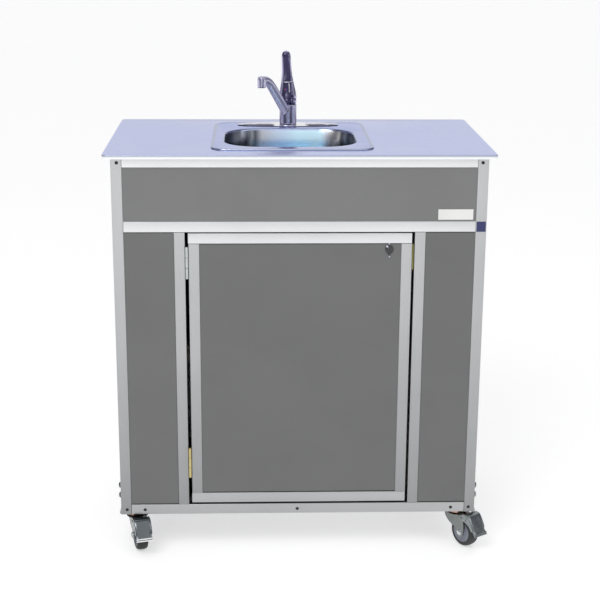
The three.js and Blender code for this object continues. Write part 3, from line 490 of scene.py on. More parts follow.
def lathe(profile, centre, axis="z", sides=64):
    """A closed [radius, height] profile about an axis through centre, heights counted from it."""
    ends = [abs(profile[0][0]) < 1e-6, abs(profile[-1][0]) < 1e-6]
    points, rows = [], []
    for radius, height in profile:
        if radius < 1e-6:
            rows.append([len(points)])
            points.append(Vector((0, 0, height)) * MM)
            continue
        rows.append(list(range(len(points), len(points) + sides)))
        for i in range(sides):
            angle = 2 * math.pi * i / sides
            points.append(Vector((radius * math.cos(angle), radius * math.sin(angle), height)) * MM)
    faces = []
    pairs = list(zip(rows, rows[1:]))
    if not any(ends):
        pairs.append((rows[-1], rows[0]))
    for a, b in pairs:
        for i in range(sides):
            j = (i + 1) % sides
            face = [a[i % len(a)], a[j % len(a)], b[j % len(b)], b[i % len(b)]]
            faces.append(tuple(dict.fromkeys(face)))
    turn = {
        "z": Matrix.Identity(4),
        "x": Matrix.Rotation(math.pi / 2, 4, "Y"),
        "y": Matrix.Rotation(-math.pi / 2, 4, "X"),
    }[axis]
    return moved((points, faces), Matrix.Translation(at(*centre)) @ turn)


def curved(points, steps=6):
    """Points on a smooth curve through the given ones."""
    result = []
    for i in range(len(points) - 1):
        a, b, c, d = [Vector(points[max(0, min(len(points) - 1, i + k))]) for k in (-1, 0, 1, 2)]
        for s in range(steps):
            t = s / steps
            square = (2 * a - 5 * b + 4 * c - d) * t * t
            cube = (3 * b - a - 3 * c + d) * t**3
            result.append(0.5 * (2 * b + (c - a) * t + square + cube))
    result.append(Vector(points[-1]))
    return result


def sweep(path, radii, sides):
    """A round tube along points in millimetres of the cabinet's frame, capped at both ends."""
    if not isinstance(radii, (list, tuple)):
        radii = [radii] * len(path)
    points, faces = [], []
    up = Vector((0.13, 0.31, 0.94))  # along no path's own direction
    for i, (spot, radius) in enumerate(zip(path, radii)):
        ahead = Vector(path[min(i + 1, len(path) - 1)]) - Vector(path[max(i - 1, 0)])
        ahead.normalize()
        side = (up - ahead * up.dot(ahead)).normalized()
        up = side
        other = ahead.cross(side)
        for k in range(sides):
            angle = 2 * math.pi * k / sides
            off = (side * math.cos(angle) + other * math.sin(angle)) * radius
            points.append(at(*(Vector(spot) + off)))
    for i in range(len(path) - 1):
        for k in range(sides):
            m = (k + 1) % sides
            a, b = i * sides, (i + 1) * sides
            faces.append((a + k, a + m, b + m, b + k))
    faces.append(tuple(range(sides)))
    faces.append(tuple(range(len(points) - sides, len(points))))
    return points, faces


def prism(outline, low, high, axis):
    """A 2D outline given thickness along one axis, in millimetres of the cabinet's frame."""
    place = {"x": lambda d, u, v: (d, u, v), "y": lambda d, u, v: (u, d, v)}[axis]
    count = len(outline)
    points = [at(*place(depth, u, v)) for depth in (low, high) for u, v in outline]
    faces = [tuple(range(count)), tuple(range(count, 2 * count))]
    for i in range(count):
        j = (i + 1) % count
        faces.append((i, j, count + j, count + i))
    return points, faces


# ---- frame members and panels -------------------------------------------------------------
def local_box(node):
    low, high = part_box(node)
    return [(c - o) / MM for c, o in zip(low, ORIGIN)], [(c - o) / MM for c, o in zip(high, ORIGIN)]


CORNER = 1.8  # outside radius of the square tube
GAP = 0.3  # left between two pieces that meet


def member(node, body="cart"):
    """A square-tube frame member in the place of its CAD bar, with rounded long edges."""
    low, high = local_box(node)
    spans = [h - l for l, h in zip(low, high)]
    axis = spans.index(max(spans))
    u, v = [i for i in range(3) if i != axis]
    middle = (low[u] + high[u]) / 2, (low[v] + high[v]) / 2
    ring = rounded_ring(*middle, spans[u], spans[v], CORNER, 0, 3)
    rings = []
    for end in (low[axis], high[axis]):
        spots = []
        for p in ring:
            spot = [0, 0, 0]
            spot[axis], spot[u], spot[v] = end, p[0], p[1]
            spots.append(spot)
        rings.append(spots)
    look(node, loft(rings), body, ALUMINIUM["xyz"[axis]], "aluminium", 24)


for name in ("left", "right"):
    for node in ("post_front_", "mullion_"):
        member(node + name)
    for level in ("top", "bottom"):
        member(f"rail_{name}_{level}")
    member("door_stile_" + name, "door")
for level in ("top", "middle", "bottom"):
    member("rail_front_" + level)
for level in ("top", "bottom"):
    member("door_rail_" + level, "door")

BACK_TUBE = DEPTH - TUBE / 2  # the middle of the rear members
posts = []
for side in (-1, 1):
    middle = side * (HALF_WIDTH - TUBE / 2)
    ends = [rounded_ring(middle, BACK_TUBE, TUBE, TUBE, CORNER, z, 3) for z in (0, FRAME_TOP)]
    posts.append(loft(ends))
shape = merged(*posts)
piece("look_frame_rear_posts", *shape, "cart", ALUMINIUM["z"], "aluminium", ["frame_rear"], 24)
SLIM = TUBE - 0.1  # the rear rails, a touch inside the posts' faces
RAIL_END = HALF_WIDTH - TUBE + 0.5
rails = []
for z in (TUBE / 2, FRAME_TOP - TUBE / 2):
    ring = rounded_ring(BACK_TUBE, z, SLIM, SLIM, CORNER, 0, 3)
    rails.append(loft([[(x, p[0], p[1]) for p in ring] for x in (-RAIL_END, RAIL_END)]))
piece("look_frame_rear_rails", *merged(*rails), "cart", ALUMINIUM["x"], "aluminium", (), 24)


def finish_node(node, material):
    """Gives a CAD node that is already the right shape its material."""
    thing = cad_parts[node]
    thing.data.materials.clear()
    thing.data.materials.append(material)


# The upper panel takes the lighter copy of the grey: painted light.
finish_node("panel_front_upper", LIT_UPPER_PANEL)
for name in ("front_left", "front_right", "side_left", "side_right", "rear"):
    finish_node("panel_" + name, PANEL)
finish_node("door_panel", PANEL)
finish_node("panel_floor", BOARD)

# ---- worktop ------------------------------------------------------------------------------
RIM_AT = (-16, 247)
RIM_SIZE = (380, 402)
TOP_SIZE = (898, 538)
TOP_CORNER = 12
LIP_FOOT = 877  # lower end of the turned-down edge
SHEET_FOOT = 880.3  # underside of the flat sheet
EDGE_ROUND = 1.1


def top_ring(inset, z):
    width, length = [size - 2 * inset for size in TOP_SIZE]
    return rounded_ring(0, DEPTH / 2, width, length, TOP_CORNER - inset, z, 8)


def cutout_ring(z):
    """The hole under the sink's rim."""
    return rounded_ring(*RIM_AT, RIM_SIZE[0] - 20, RIM_SIZE[1] - 22, 30, z, 8)


rings = [top_ring(0.3, LIP_FOOT), top_ring(0, LIP_FOOT + 0.4)]
for i in range(6):
    angle = math.radians(18 * i)
    inset = EDGE_ROUND * (1 - math.cos(angle))
    rings.append(top_ring(inset, TOP_Z - EDGE_ROUND + EDGE_ROUND * math.sin(angle)))
rings += [cutout_ring(TOP_Z), cutout_ring(SHEET_FOOT), top_ring(2, SHEET_FOOT), top_ring(2, LIP_FOOT)]
look("worktop", loft(rings, looped=True), "cart", WORKTOP, "stainless", 40)

# ---- sink ---------------------------------------------------------------------------------
RIM_CORNER = 38
BOWL_SIZE = (315, 272)
STEPS = 14  # faces in a quarter of each ring


def rim_ring(inset, z):
    width, length = [size - 2 * inset for size in RIM_SIZE]
    return rounded_ring(*RIM_AT, width, length, RIM_CORNER - inset, z, STEPS)


def bowl_ring(inset, corner, z):
    width, length = [size - 2 * inset for size in BOWL_SIZE]
    return rounded_ring(*BOWL_AT, width, length, corner, z, STEPS)


inside = [(-5, 88, DECK_Z), (-3, 87, DECK_Z - 0.2), (-1.4, 86, DECK_Z - 0.9), (-0.2, 85, DECK_Z - 2.2)]
inside += [(1, 84, DECK_Z - 4.2), (3.4, 82, 850), (6, 80, 820), (8.5, 78, 792), (11, 76, 770)]
inside += [(12.6, 75, 762), (15, 73, 755.5), (18.5, 71, 750.5), (23, 68, 747), (30, 64, 744.8)]
inside += [(38, 60, 743.4), (52, 54, 742.8)]
outside = [(inset - 1.5, corner + 1, z - 0.5) for inset, corner, z in inside[4:11]]
outside += [(inset - 1, corner + 1, z - 1.4) for inset, corner, z in inside[11:]]
roll = [(0, 0.3), (0, 1.4), (0.5, 2.5), (1.6, 3.3), (3.2, 3.6), (5.5, 3.5), (7.6, 3), (9.4, 2.5)]
rings = [rim_ring(inset, TOP_Z + rise) for inset, rise in roll] + [rim_ring(11, DECK_Z)]
rings += [bowl_ring(*r) for r in inside]
outlet_seat = [(53, 742.5), (50, 741.6), (46, 740.4), (33, 740.4), (33, 738.9), (47, 738.9), (54, 741)]
rings += [circle_ring(*BOWL_AT, radius, z, STEPS) for radius, z in outlet_seat]
rings += [bowl_ring(*r) for r in reversed(outside)]
rings += [bowl_ring(-0.5, 85.5, DECK_Z - 1.5), rim_ring(9, DECK_Z - 1.5)]
look("sink_bowl", loft(rings, looped=True), "cart", BOWL, "stainless", 50)

drain = [(29, 741), (29, 716), (28.4, 708), (27, 702), (16.8, 694), (16.8, 352), (19, 352), (19, 690)]
drain += [(24, 690), (24, 699), (31.5, 703), (31.5, 740.7), (44, 740.7), (44, 741.5), (42.5, 742.3)]
drain += [(40, 743), (36, 743.2), (33, 743), (31, 742.4)]
piece("look_drain", *lathe(drain, (*BOWL_AT, 0)), "cart", STEEL, "stainless", ["drain_body"], 35)

basket = [(0, 720), (18, 720), (22.5, 721.4), (25, 724), (25.5, 726), (25.5, 741), (27.5, 742)]
basket += [(27.5, 743), (26.6, 743.4), (24.4, 743), (24, 741), (24, 727), (22, 723), (18, 721.5)]
basket += [(3, 721.5), (3, 738), (7, 740.5), (7.6, 743), (7, 746), (4, 748), (0, 748)]
shape = lathe(basket, (*BOWL_AT, 0))
piece("look_basket", *shape, "basket", STEEL, "stainless", ["strainer_basket"], 35)

# ---- faucet -------------------------------------------------------------------------------
SHANKS = (FAUCET[0] - 51, FAUCET[0] + 51)
SHANK_FOOT = 842
PIVOT_Z = 949.5  # the lever's tilt axis
COLLAR_ROUND = 21.5
LEVER_ROUND = 21.9
LEVER_FOOT = 957.2
LEVER_LEAN = -2.6  # degrees
PLATE_HALF = (128.5, 29.4)
PLATE_SIDES = 96
PLATE_POWER = 0.86  # squares the ends of the oval a little


def oval_ring(scale_x, scale_y, rise):
    ring = []
    for i in range(PLATE_SIDES):
        angle = 2 * math.pi * i / PLATE_SIDES
        c, s = math.cos(angle), math.sin(angle)
        x = FAUCET[0] + PLATE_HALF[0] * scale_x * math.copysign(abs(c) ** PLATE_POWER, c)
        y = FAUCET[1] + PLATE_HALF[1] * scale_y * math.copysign(abs(s) ** PLATE_POWER, s)
        ring.append((x, y, DECK_Z + rise))
    return ring


plate_rings = [(0.985, 0.95, 0.3), (1, 1, 1), (1, 1, 1.6), (0.994, 0.975, 2.1), (0.975, 0.93, 2.6)]
plate_rings += [(0.93, 0.85, 3.2), (0.84, 0.74, 3.9), (0.7, 0.68, 4.2), (0.55, 0.64, 4.4)]
plate_rings += [(0.38, 0.6, 4.55), (0.2, 0.5, 4.6), (0.05, 0.12, 4.6)]
shape = loft([oval_ring(*r) for r in plate_rings])
piece("look_deck_plate", *shape, "cart", PLATE_CHROME, "chrome", ["faucet_deck_plate"], 40)
shank = [(0, SHANK_FOOT), (9, SHANK_FOOT), (10, 843), (10, 862), (17, 862), (18, 863), (18, 871)]
shank += [(17, 872), (10, 872), (10, 889), (0, 889)]
for i, x in enumerate(SHANKS):
    piece(f"faucet_shank_{i}", *lathe(shank, (x, FAUCET[1], 0), sides=32), "cart", BRASS, "brass")


def ball(radius, z):
    """The profile point at a height on a ball about the lever's pivot."""
    return math.sqrt(radius**2 - (z - PIVOT_Z) ** 2), z


collar = [(0, 893.3), (15, 893.3), (15, 942)]
collar += [ball(COLLAR_ROUND, 942 + i * 15 / 8) for i in range(9)]
collar += [ball(COLLAR_ROUND, 960), (0, 960)]
look("faucet_core", lathe(collar, (*FAUCET, 0)), "cart", CHROME, "chrome", 40)
finish_node("faucet_stem", ZINC)

OUTLET = (-86, 304, 996)  # the spout's mouth
REACH = Vector((OUTLET[0] - FAUCET[0], OUTLET[1] - FAUCET[1], 0))


def on_reach(share, z):
    """A point over the straight line from the faucet's axis to its outlet."""
    return (FAUCET[0] + share * REACH.x, FAUCET[1] + share * REACH.y, z)


def blended_mesh(shapes, cutters, voxel):
    """One rounded skin over several solids: joined, remeshed, smoothed, then cut."""
    mesh = bpy.data.meshes.new("work")
    points, faces = merged(*shapes)
    mesh.from_pydata(points, [], faces)
    thing = bpy.data.objects.new("work", mesh)
    bpy.context.scene.collection.objects.link(thing)
    remesh = thing.modifiers.new("remesh", "REMESH")
    remesh.mode = "VOXEL"
    remesh.voxel_size = voxel * MM
    relax = thing.modifiers.new("relax", "SMOOTH")
    relax.factor = 0.6
    relax.iterations = 6
    made = []
    for i, (cut_points, cut_faces) in enumerate(cutters):
        cutter_mesh = bpy.data.meshes.new("cutter")
        cutter_mesh.from_pydata(cut_points, [], cut_faces)
        work = bmesh.new()
        work.from_mesh(cutter_mesh)
        bmesh.ops.recalc_face_normals(work, faces=work.faces)
        work.to_mesh(cutter_mesh)
        work.free()
        cutter = bpy.data.objects.new("cutter", cutter_mesh)
        bpy.context.scene.collection.objects.link(cutter)
        cut = thing.modifiers.new("cut" + str(i), "BOOLEAN")
        cut.operation = "DIFFERENCE"
        cut.solver = "EXACT"
        cut.object = cutter
        made.append(cutter)
    bpy.context.view_layer.update()
    depsgraph = bpy.context.evaluated_depsgraph_get()
    result = bpy.data.meshes.new_from_object(thing.evaluated_get(depsgraph))
    for extra in [thing] + made:
        bpy.data.objects.remove(extra)
    shape = [v.co.copy() for v in result.vertices], [tuple(p.vertices) for p in result.polygons]
    bpy.data.meshes.remove(result)
    return shape


sleeve = [(0, 893.3), (22, 893.3), (22, 940.2), (21.4, 941.4), (20.8, 941.7), (0, 941.7)]
arm = [(0.06, 921), (0.18, 936), (0.42, 967), (0.66, 997), (0.8, 1009), (0.93, 1013.6), (1.0, 1012.5)]
arm_path = curved([on_reach(*spot) for spot in arm])
arm_radii = [12.2 - 1.4 * min(1.0, i / (0.8 * len(arm_path))) for i in range(len(arm_path))]
outlet = [(0, 0), (9.9, 0), (10.3, 0.6), (10.5, 4), (10.6, 18), (10.2, 22.5), (8.6, 26.4)]
outlet += [(5, 28.5), (0, 29)]
solids = [lathe(sleeve, (*FAUCET, 0)), sweep(arm_path, arm_radii, 32), lathe(outlet, OUTLET)]
cutters = [
    lathe([(0, 880), (15.3, 880), (15.3, 960), (0, 960)], (*FAUCET, 0)),
    lathe([(0, -3), (7.6, -3), (7.6, 7), (0, 7)], OUTLET, sides=40),
    lathe([(0, 941.8), (22.8, 941.8), (22.8, 980), (0, 980)], (*FAUCET, 0)),
]
spout = blended_mesh(solids, cutters, 1.0)
piece("look_spout", *spout, "spout", SPOUT_CHROME, "chrome", ["faucet_spout"], 40)
aerator = [(0, 1.2), (6.9, 1.2), (7.4, 0.6), (7.4, 6), (0, 6)]
piece("aerator_screen", *lathe(aerator, OUTLET, sides=40), "spout", DULL_ZINC, "zinc")

# A turned grip over a ball-shaped hollow; its front is then pressed flatter.
grip = [(22.1, LEVER_FOOT), (22.25, 958), (22.2, 962), (21.3, 969), (20.2, 976), (18.6, 984)]
grip += [(17.2, 991), (15.6, 1000), (14.3, 1009), (13.3, 1018), (12.6, 1028), (12.2, 1040), (12, 1052)]
grip += [(11.7, 1060), (10.9, 1066.4), (9, 1071.3), (6.2, 1074.5), (3, 1075.8), (0, 1076)]
hollow = [(0, PIVOT_Z + LEVER_ROUND)]
for radius in (5, 10, 15, 18.5, 20.5):
    hollow.append((radius, PIVOT_Z + math.sqrt(LEVER_ROUND**2 - radius**2)))
hollow.append(ball(LEVER_ROUND, LEVER_FOOT))
LEVER_SIDES = 96
points, faces = lathe(grip + hollow, (0, 0, 0), sides=LEVER_SIDES)
outer = sum(LEVER_SIDES if r else 1 for r, _ in grip)


def flatness(z):
    """How far the front of the grip comes forward, as a share of its radius."""
    share = 1.0
    for low, high, flat in ((966, 997, 0.84), (1004, 1062, 0.78)):
        inside = min(1.0, max(0.0, min(z - low, high - z) / 5))
        share = min(share, 1 - (1 - flat) * inside)
    return share


for spot in points[:outer]:
    local = (spot - ORIGIN) / MM
    radius = math.hypot(local.x, local.y)
    spot.y = ORIGIN.y + max(local.y, -flatness(local.z) * radius) * MM
lean = Matrix.Rotation(math.radians(LEVER_LEAN), 4, "Y")
to_pivot = Matrix.Translation(at(*FAUCET, PIVOT_Z))
from_axis = Matrix.Translation(-at(0, 0, PIVOT_Z))
tip_lever = to_pivot @ lean @ from_axis
shape = moved((points, faces), tip_lever)
piece("look_lever", *shape, "lever", CHROME, "chrome", ["faucet_lever"], 40)

# A raised ridge round the front of the grip, with a stripe down from it, both in near-white metal as
# painted highlights; the stripe stands in for a glint.
RIDGE_REACH = 15.2
arc = []
for i in range(19):
    angle = math.radians(200 + 140 * i / 18)
    c, s = math.cos(angle), math.sin(angle)
    arc.append((RIDGE_REACH * c, RIDGE_REACH * s, 1000.4 + 1.6 * s))
glint_stripe = [(3.6, -13.5, 997), (4.2, -15.7, 985), (3.7, -16.9, 972)]
shape = moved(merged(sweep(arc, 0.9, 12), sweep(curved(glint_stripe, 6), 1.1, 12)), tip_lever)
piece("lever_ridge_and_glint", *shape, "lever", HIGHLIGHT_METAL, "chrome", (), 50)
dot = [(0, -0.9), (0.9, -0.8), (1.4, -0.4), (1.5, 0.4), (0, 0.4)]
for name, x, material, slot in (
    ("lever_mark_hot", -6.4, RED_DOT, "hose_red"),
    ("lever_mark_cold", -3.1, BLUE_DOT, "hose_blue"),
):
    shape = moved(lathe(dot, (x, -16.1, 981), "y", 24), tip_lever)
    piece(name, *shape, "lever", material, slot)

# ---- hinges -------------------------------------------------------------------------------
HINGE = (-261.7, -1)  # x and y of the door's axis
HINGE_HEIGHT = 76
LEAF = 1.2  # thickness of a leaf
LEAF_DEPTH = 22
FRAME_LEAF_X = -265.2  # left faces of the two leaves
DOOR_LEAF_X = -259.3


def knuckle(foot, head, radius=3.5, bore=0.0):
    """One barrel of a hinge, hollow where it has a bore."""
    soft = 0.4
    profile = [(bore, foot), (radius - soft, foot), (radius, foot + soft), (radius, head - soft)]
    profile += [(radius - soft, head), (bore, head)]
    return lathe(profile, (*HINGE, 0), sides=32)


def leaf(x, foot, head, knuckles, bore=0.0):
    """A flat leaf with its knuckles, each joined to it by a short tongue."""
    shapes = [box_shape((x, 3, foot), (x + LEAF, LEAF_DEPTH, head))]
    for low, high in knuckles:
        shapes.append(box_shape((x, HINGE[1], low), (x + LEAF, 3.2, high)))
        shapes.append(knuckle(low, high, bore=bore))
    return shapes


for name, foot, material, slot in (("lower", 97, BRASS, "brass"), ("upper", 594, ZINC, "zinc")):
    head = foot + HINGE_HEIGHT
    low, high = foot + HINGE_HEIGHT / 3, head - HINGE_HEIGHT / 3
    shapes = leaf(FRAME_LEAF_X, foot, head, [(foot, low), (high, head)])
    shapes.append(knuckle(foot + 0.2, head - 0.2, 1.6))
    node = f"hinge_{name}_frame_leaf"
    look(node, merged(*shapes), "cart", material, slot, bevel=0.25)
    shapes = leaf(DOOR_LEAF_X, foot, head, [(low + GAP, high - GAP)], 1.9)
    node = f"hinge_{name}_door_leaf"
    look(node, merged(*shapes), "door", material, slot, bevel=0.25)

# ---- lock ---------------------------------------------------------------------------------
LOCK = (207, 663)  # x and z of the lock's axis
# The lock's body and barrel take the darkened chrome: painted dark reflection.
bezel = [(5.9, -1.7), (7.2, -2), (8.7, -1.6), (9.5, -0.7), (9.5, 0.5), (8, 0.7), (8, 24), (5.9, 24)]
nut = [(8, 4.3), (10.6, 4.3), (11, 4.9), (11, 10.9), (10.6, 11.5), (8, 11.5)]
lock_at = (LOCK[0], 0, LOCK[1])
shape = merged(lathe(bezel, lock_at, "y"), lathe(nut, lock_at, "y", 6))
look("lock_body", shape, "door", DARK_METAL, "chrome", 30)
barrel = [(0, -2.6), (4.7, -2.6), (5.4, -2.1), (5.5, -1.2), (5.5, 27.2), (0, 27.2)]
piece("look_lock_barrel", *lathe(barrel, lock_at, "y"), "lock", DARK_METAL, "chrome")
cam = box_shape((LOCK[0] - 8, 26.3, LOCK[1] - 74), (LOCK[0] + 8, 28.8, LOCK[1] + 8))
look("lock_cam", cam, "lock", BRASS, "brass", bevel=0.8)
keyway = box_shape((LOCK[0] - 0.8, -2.8, LOCK[1] - 3.6), (LOCK[0] + 0.8, -2.3, LOCK[1] + 3.6))
piece("lock_keyway", *keyway, "lock", BLACK, "black_plastic", bevel=0.2)
SHIELD_SCALE = 0.86
SHIELD_HOLE = 6.2
shield = [(-7.5, 10.5), (7.5, 10.5), (9.6, 6), (10, 0), (8.8, -5), (5.6, -11), (2.4, -15.5)]
shield += [(0, -17), (-2.4, -15.5), (-5.6, -11), (-8.8, -5), (-10, 0), (-9.6, 6)]
outer = []
for i, (x, z) in enumerate(shield):
    next_x, next_z = shield[(i + 1) % len(shield)]
    for step in (0, 0.25, 0.5, 0.75):
        spot = x + (next_x - x) * step, z + (next_z - z) * step
        outer.append((SHIELD_SCALE * spot[0], SHIELD_SCALE * spot[1]))
inner = [(SHIELD_HOLE * x / math.hypot(x, z), SHIELD_HOLE * z / math.hypot(x, z)) for x, z in outer]
rings = []
for outline, y in ((outer, 0.1), (outer, 0.8), (inner, 0.8), (inner, 0.1)):
    rings.append([(LOCK[0] + x, y, LOCK[1] + z) for x, z in outline])
piece("lock_shield", *loft(rings, looped=True), "door", DARK_METAL, "chrome")
stud = [(0, -2.2), (1.5, -2), (2.6, -1.1), (3, 0.3), (3, 0.95), (0, 0.95)]
shapes = []
# The bumps at the top and upper left stand in for highlights on the bezel, as painted highlights; the
# lowest is a stud.
for size, x, y, z in ((0.85, 0.5, 0, -17.2), (0.8, -0.5, 0, 13), (1, -5.3, -1.2, 7.6)):
    profile = [(r * size, h) for r, h in stud]
    shapes.append(lathe(profile, (LOCK[0] + x, y, LOCK[1] + z), "y", 32))
piece("lock_stud_and_glints", *merged(*shapes), "door", STEEL, "chrome")
pad = box_shape((260.2, 1.5, 614), (264.2, 8, 675))
piece("door_pad", *pad, "door", OLIVE, "black_plastic", bevel=0.6)

# ---- plugs, bolts, rivets and painted shadow strips ---------------------------------------
POST_X = HALF_WIDTH - 14.5  # the plugs in the posts
plug = [(0, -0.9), (2.4, -0.8), (3.6, -0.4), (4.1, 0.1), (4.1, 0.8), (0, 0.8)]
spots = [(side * POST_X, z) for side in (-1, 1) for z in (12.5, 866)]
spots += [(x, 12) for x in (-373, -3, 373)]
shapes = [lathe(plug, (x, 0, z), "y", 24) for x, z in spots]
piece("front_plugs", *merged(*shapes), "cart", BLACK, "black_plastic")

dome = [(0, 5.4), (3, 5.2), (5.6, 4.3), (7, 2.8), (7.5, 0.6), (7.5, -0.3), (0, -0.3)]
for side, name, heights in ((-1, "left", (72.8, 46.9)), (1, "right", (65.4, 40.8))):
    profile = flipped(dome, side)
    shapes = [lathe(profile, (side * HALF_WIDTH, TUBE / 2, z), "x", 32) for z in heights]
    piece("side_bolts_" + name, *merged(*shapes), "cart", FORK_ZINC, "zinc")

rivet = [(0, 1.1), (1.6, 0.9), (2.8, 0.4), (3.2, -0.1), (0, -0.1)]
PANEL_INSET = 4
SIDE_FACE = HALF_WIDTH - PANEL_INSET
REAR_FACE = DEPTH - PANEL_INSET
ROWS = [38 + 100.5 * i for i in range(9)]  # heights of the panel rivets
for side, name in ((-1, "left"), (1, "right")):
    profile = flipped(rivet, side)
    shapes = [lathe(profile, (side * SIDE_FACE, y, z), "x", 16) for y in (36, 466) for z in ROWS]
    piece("panel_rivets_" + name, *merged(*shapes), "cart", ZINC, "zinc")
columns = [-394 + i * 98.5 for i in range(9)]
rear_spots = [(x, z) for x in columns for z in (ROWS[0], ROWS[-1])]
rear_spots += [(x, z) for x in (columns[0], columns[-1]) for z in ROWS[1:-1]]
shapes = [lathe(rivet, (x, REAR_FACE, z), "y", 16) for x, z in rear_spots]
piece("panel_rivets_rear", *merged(*shapes), "cart", ZINC, "zinc")

label = [(318, 733), (399, 733), (399, 757.5), (318, 757.5)]
piece("blank_plate", *prism(label, 0.3, 1.1, "y"), "cart", ENAMEL, "white_enamel", bevel=0.25)
tag = [(407.5, 704.5), (429, 704.5), (429, 728.5), (407.5, 728.5)]
piece("blank_tag", *prism(tag, -0.7, 0.1, "y"), "cart", TAG_BLUE, "hose_blue", bevel=0.25)

SHADOW_STRIP_HEIGHT = 2.0  # height of the black strip of painted shadow along a panel's lower edge
# Black strips along the lower and upper edges of the front panels and the door panel paint in the
# shadow lines where they meet the frame.
for name, body in (("panel_front_left", "cart"), ("panel_front_right", "cart"), ("door_panel", "door")):
    low, high = local_box(name)
    shapes = [box_shape((low[0], 0.5, low[2] - 0.2), (high[0], 1.0, low[2] + SHADOW_STRIP_HEIGHT))]
    shapes.append(box_shape((low[0], 0.5, high[2] - 0.8), (high[0], 1.0, high[2] + 0.2)))
    piece("shadow_strip_" + name, *merged(*shapes), body, BLACK, "black_plastic", bevel=0.15)


INLET = (-300, 150)  # x and z of the power inlet


def inlet_ring(width, height, corner, y):
    return [(p[0], y, p[1]) for p in rounded_ring(*INLET, width, height, corner, 0, 4)]


rings = [(56, 38, 4, 497.9), (56, 38, 4, 500.6), (54.6, 36.6, 3.4, 501.3), (34, 24, 3, 501.3)]
rings.append((33, 23, 3, 498.4))
shape = loft([inlet_ring(*r) for r in rings])
piece("power_inlet", *shape, "cart", BLACK, "black_plastic", smooth=30)
shapes = []
for x, z in ((-8, -2), (0, 3), (8, -2)):
    low = (INLET[0] + x - 1, 498.3, INLET[1] + z - 3)
    shapes.append(box_shape(low, (INLET[0] + x + 1, 500.6, INLET[1] + z + 3)))
profile = [(r * 0.9, h * 0.8) for r, h in rivet]
for x in (-22, 22):
    shapes.append(lathe(profile, (INLET[0] + x, 501.3, INLET[1]), "y", 16))
piece("power_inlet_pins", *merged(*shapes), "cart", ZINC, "zinc", bevel=0.2)

# ---- casters ------------------------------------------------------------------------------
# Each is drawn about its own vertical axis with the wheel towards -Y, then placed and turned.
CASTER_X, CASTER_Y = 396, 46
TRAIL = 32
WHEEL_RADIUS = 37.5
MOUNT_HEIGHT = 97  # from the floor to the underside of the frame
AXLE_Z = WHEEL_RADIUS - MOUNT_HEIGHT
CROWN_TOP = -16.8  # top of the fork
CHEEK = (15.5, 18)  # inner and outer faces of the fork's cheeks
PEDAL_PIVOT = (-38, -19)  # y and z of the pedal's rivet


def on_caster(shape, x, y, turn):
    """A shape drawn about the vertical axis, set at a caster's place and turned in degrees."""
    spin = Matrix.Translation(at(x, y, 0)) @ Matrix.Rotation(math.radians(turn), 4, "Z")
    return moved(shape, spin @ Matrix.Translation(-at(0, 0, 0)))


def both_sides(outline, low, high):
    """Two upright plates, one to each side of the wheel."""
    return [prism(outline, low, high, "x"), prism(outline, -high, -low, "x")]


def axle_bolts(y):
    head = [(0, 17.9), (8, 17.9), (8, 19), (7.2, 19.2), (6.8, 21), (5.4, 22.3), (3, 22.9), (0, 23)]
    shapes = [lathe([(0, -18), (5, -18), (5, 18), (0, 18)], (0, y, AXLE_Z), "x", 32)]
    for side in (-1, 1):
        shapes.append(lathe(flipped(head, side), (0, y, AXLE_Z), "x", 32))
    return shapes


def top_plate():
    """The mounting plate with its four bolt heads."""
    rings = [(79, 75, 5.5, -0.3), (80, 76, 6, -0.8), (80, 76, 6, -2.8), (79, 75, 5.5, -3.3)]
    shapes = [loft([rounded_ring(0, 0, w, l, c, z, 5) for w, l, c, z in rings])]
    low_head = [(0, -4.6), (3, -4.4), (4.6, -3.7), (5, -3.2), (0, -3.2)]
    for x in (-32, 32):
        for y in (-30, 30):
            shapes.append(lathe(low_head, (x, y, 0), sides=20))
    return shapes


def outline_curve(points):
    """A smooth [y, z] outline through the given points."""
    return [(p.x, p.y) for p in curved([(y, z, 0) for y, z in points], 4)]


def swivel_fork():
    """Two cheeks under a crown and a round disc, with the pedal's rivet."""
    y = -TRAIL
    back = [(25, CROWN_TOP - 6), (23.6, -30), (17, -38), (5, -46), (y + 15, -53), (y + 13, AXLE_Z)]
    foot = [(y + 13, AXLE_Z), (y + 8.5, AXLE_Z - 10), (y, AXLE_Z - 13), (y - 8.5, AXLE_Z - 10)]
    front = [(y - 8.5, AXLE_Z - 10), (y - 12.5, AXLE_Z - 2), (y - 12.5, -37), (-43, -27)]
    outline = [(25, CROWN_TOP)] + outline_curve(back) + outline_curve(foot)[1:]
    outline += outline_curve(front)[1:] + [(-43, CROWN_TOP)]
    disc = [(0, CROWN_TOP), (23, CROWN_TOP), (26, -17.2), (27, -18.4), (26.8, -19.8), (0, -19.8)]
    shapes = both_sides(outline, *CHEEK)
    shapes.append(box_shape((-CHEEK[1], -43, -19.8), (CHEEK[1], 25, CROWN_TOP)))
    shapes.append(lathe(disc, (0, 0, 0), sides=56))
    end = [(0, 22.1), (2.4, 21.9), (3.6, 21.2), (3.7, 20.8), (2.6, 20.7), (2.6, 17), (0, 17)]
    for side in (-1, 1):
        shapes.append(lathe(flipped(end, side), (0, *PEDAL_PIVOT), "x", 24))
    return merged(*shapes)


def rigid_fork():
    down = [(30, -12), (22, -30), (13.4, AXLE_Z + 2), (9.5, AXLE_Z - 9), (0, AXLE_Z - 13)]
    down = outline_curve(down + [(-y, z) for y, z in reversed(down[:-1])])
    outline = [(30, -3)] + down + [(-30, -3)]
    return merged(*top_plate(), *both_sides(outline, *CHEEK))


def mirrored(half):
    """A closed profile from its half on the low side of the wheel."""
    return half + flipped(reversed(half), -1)


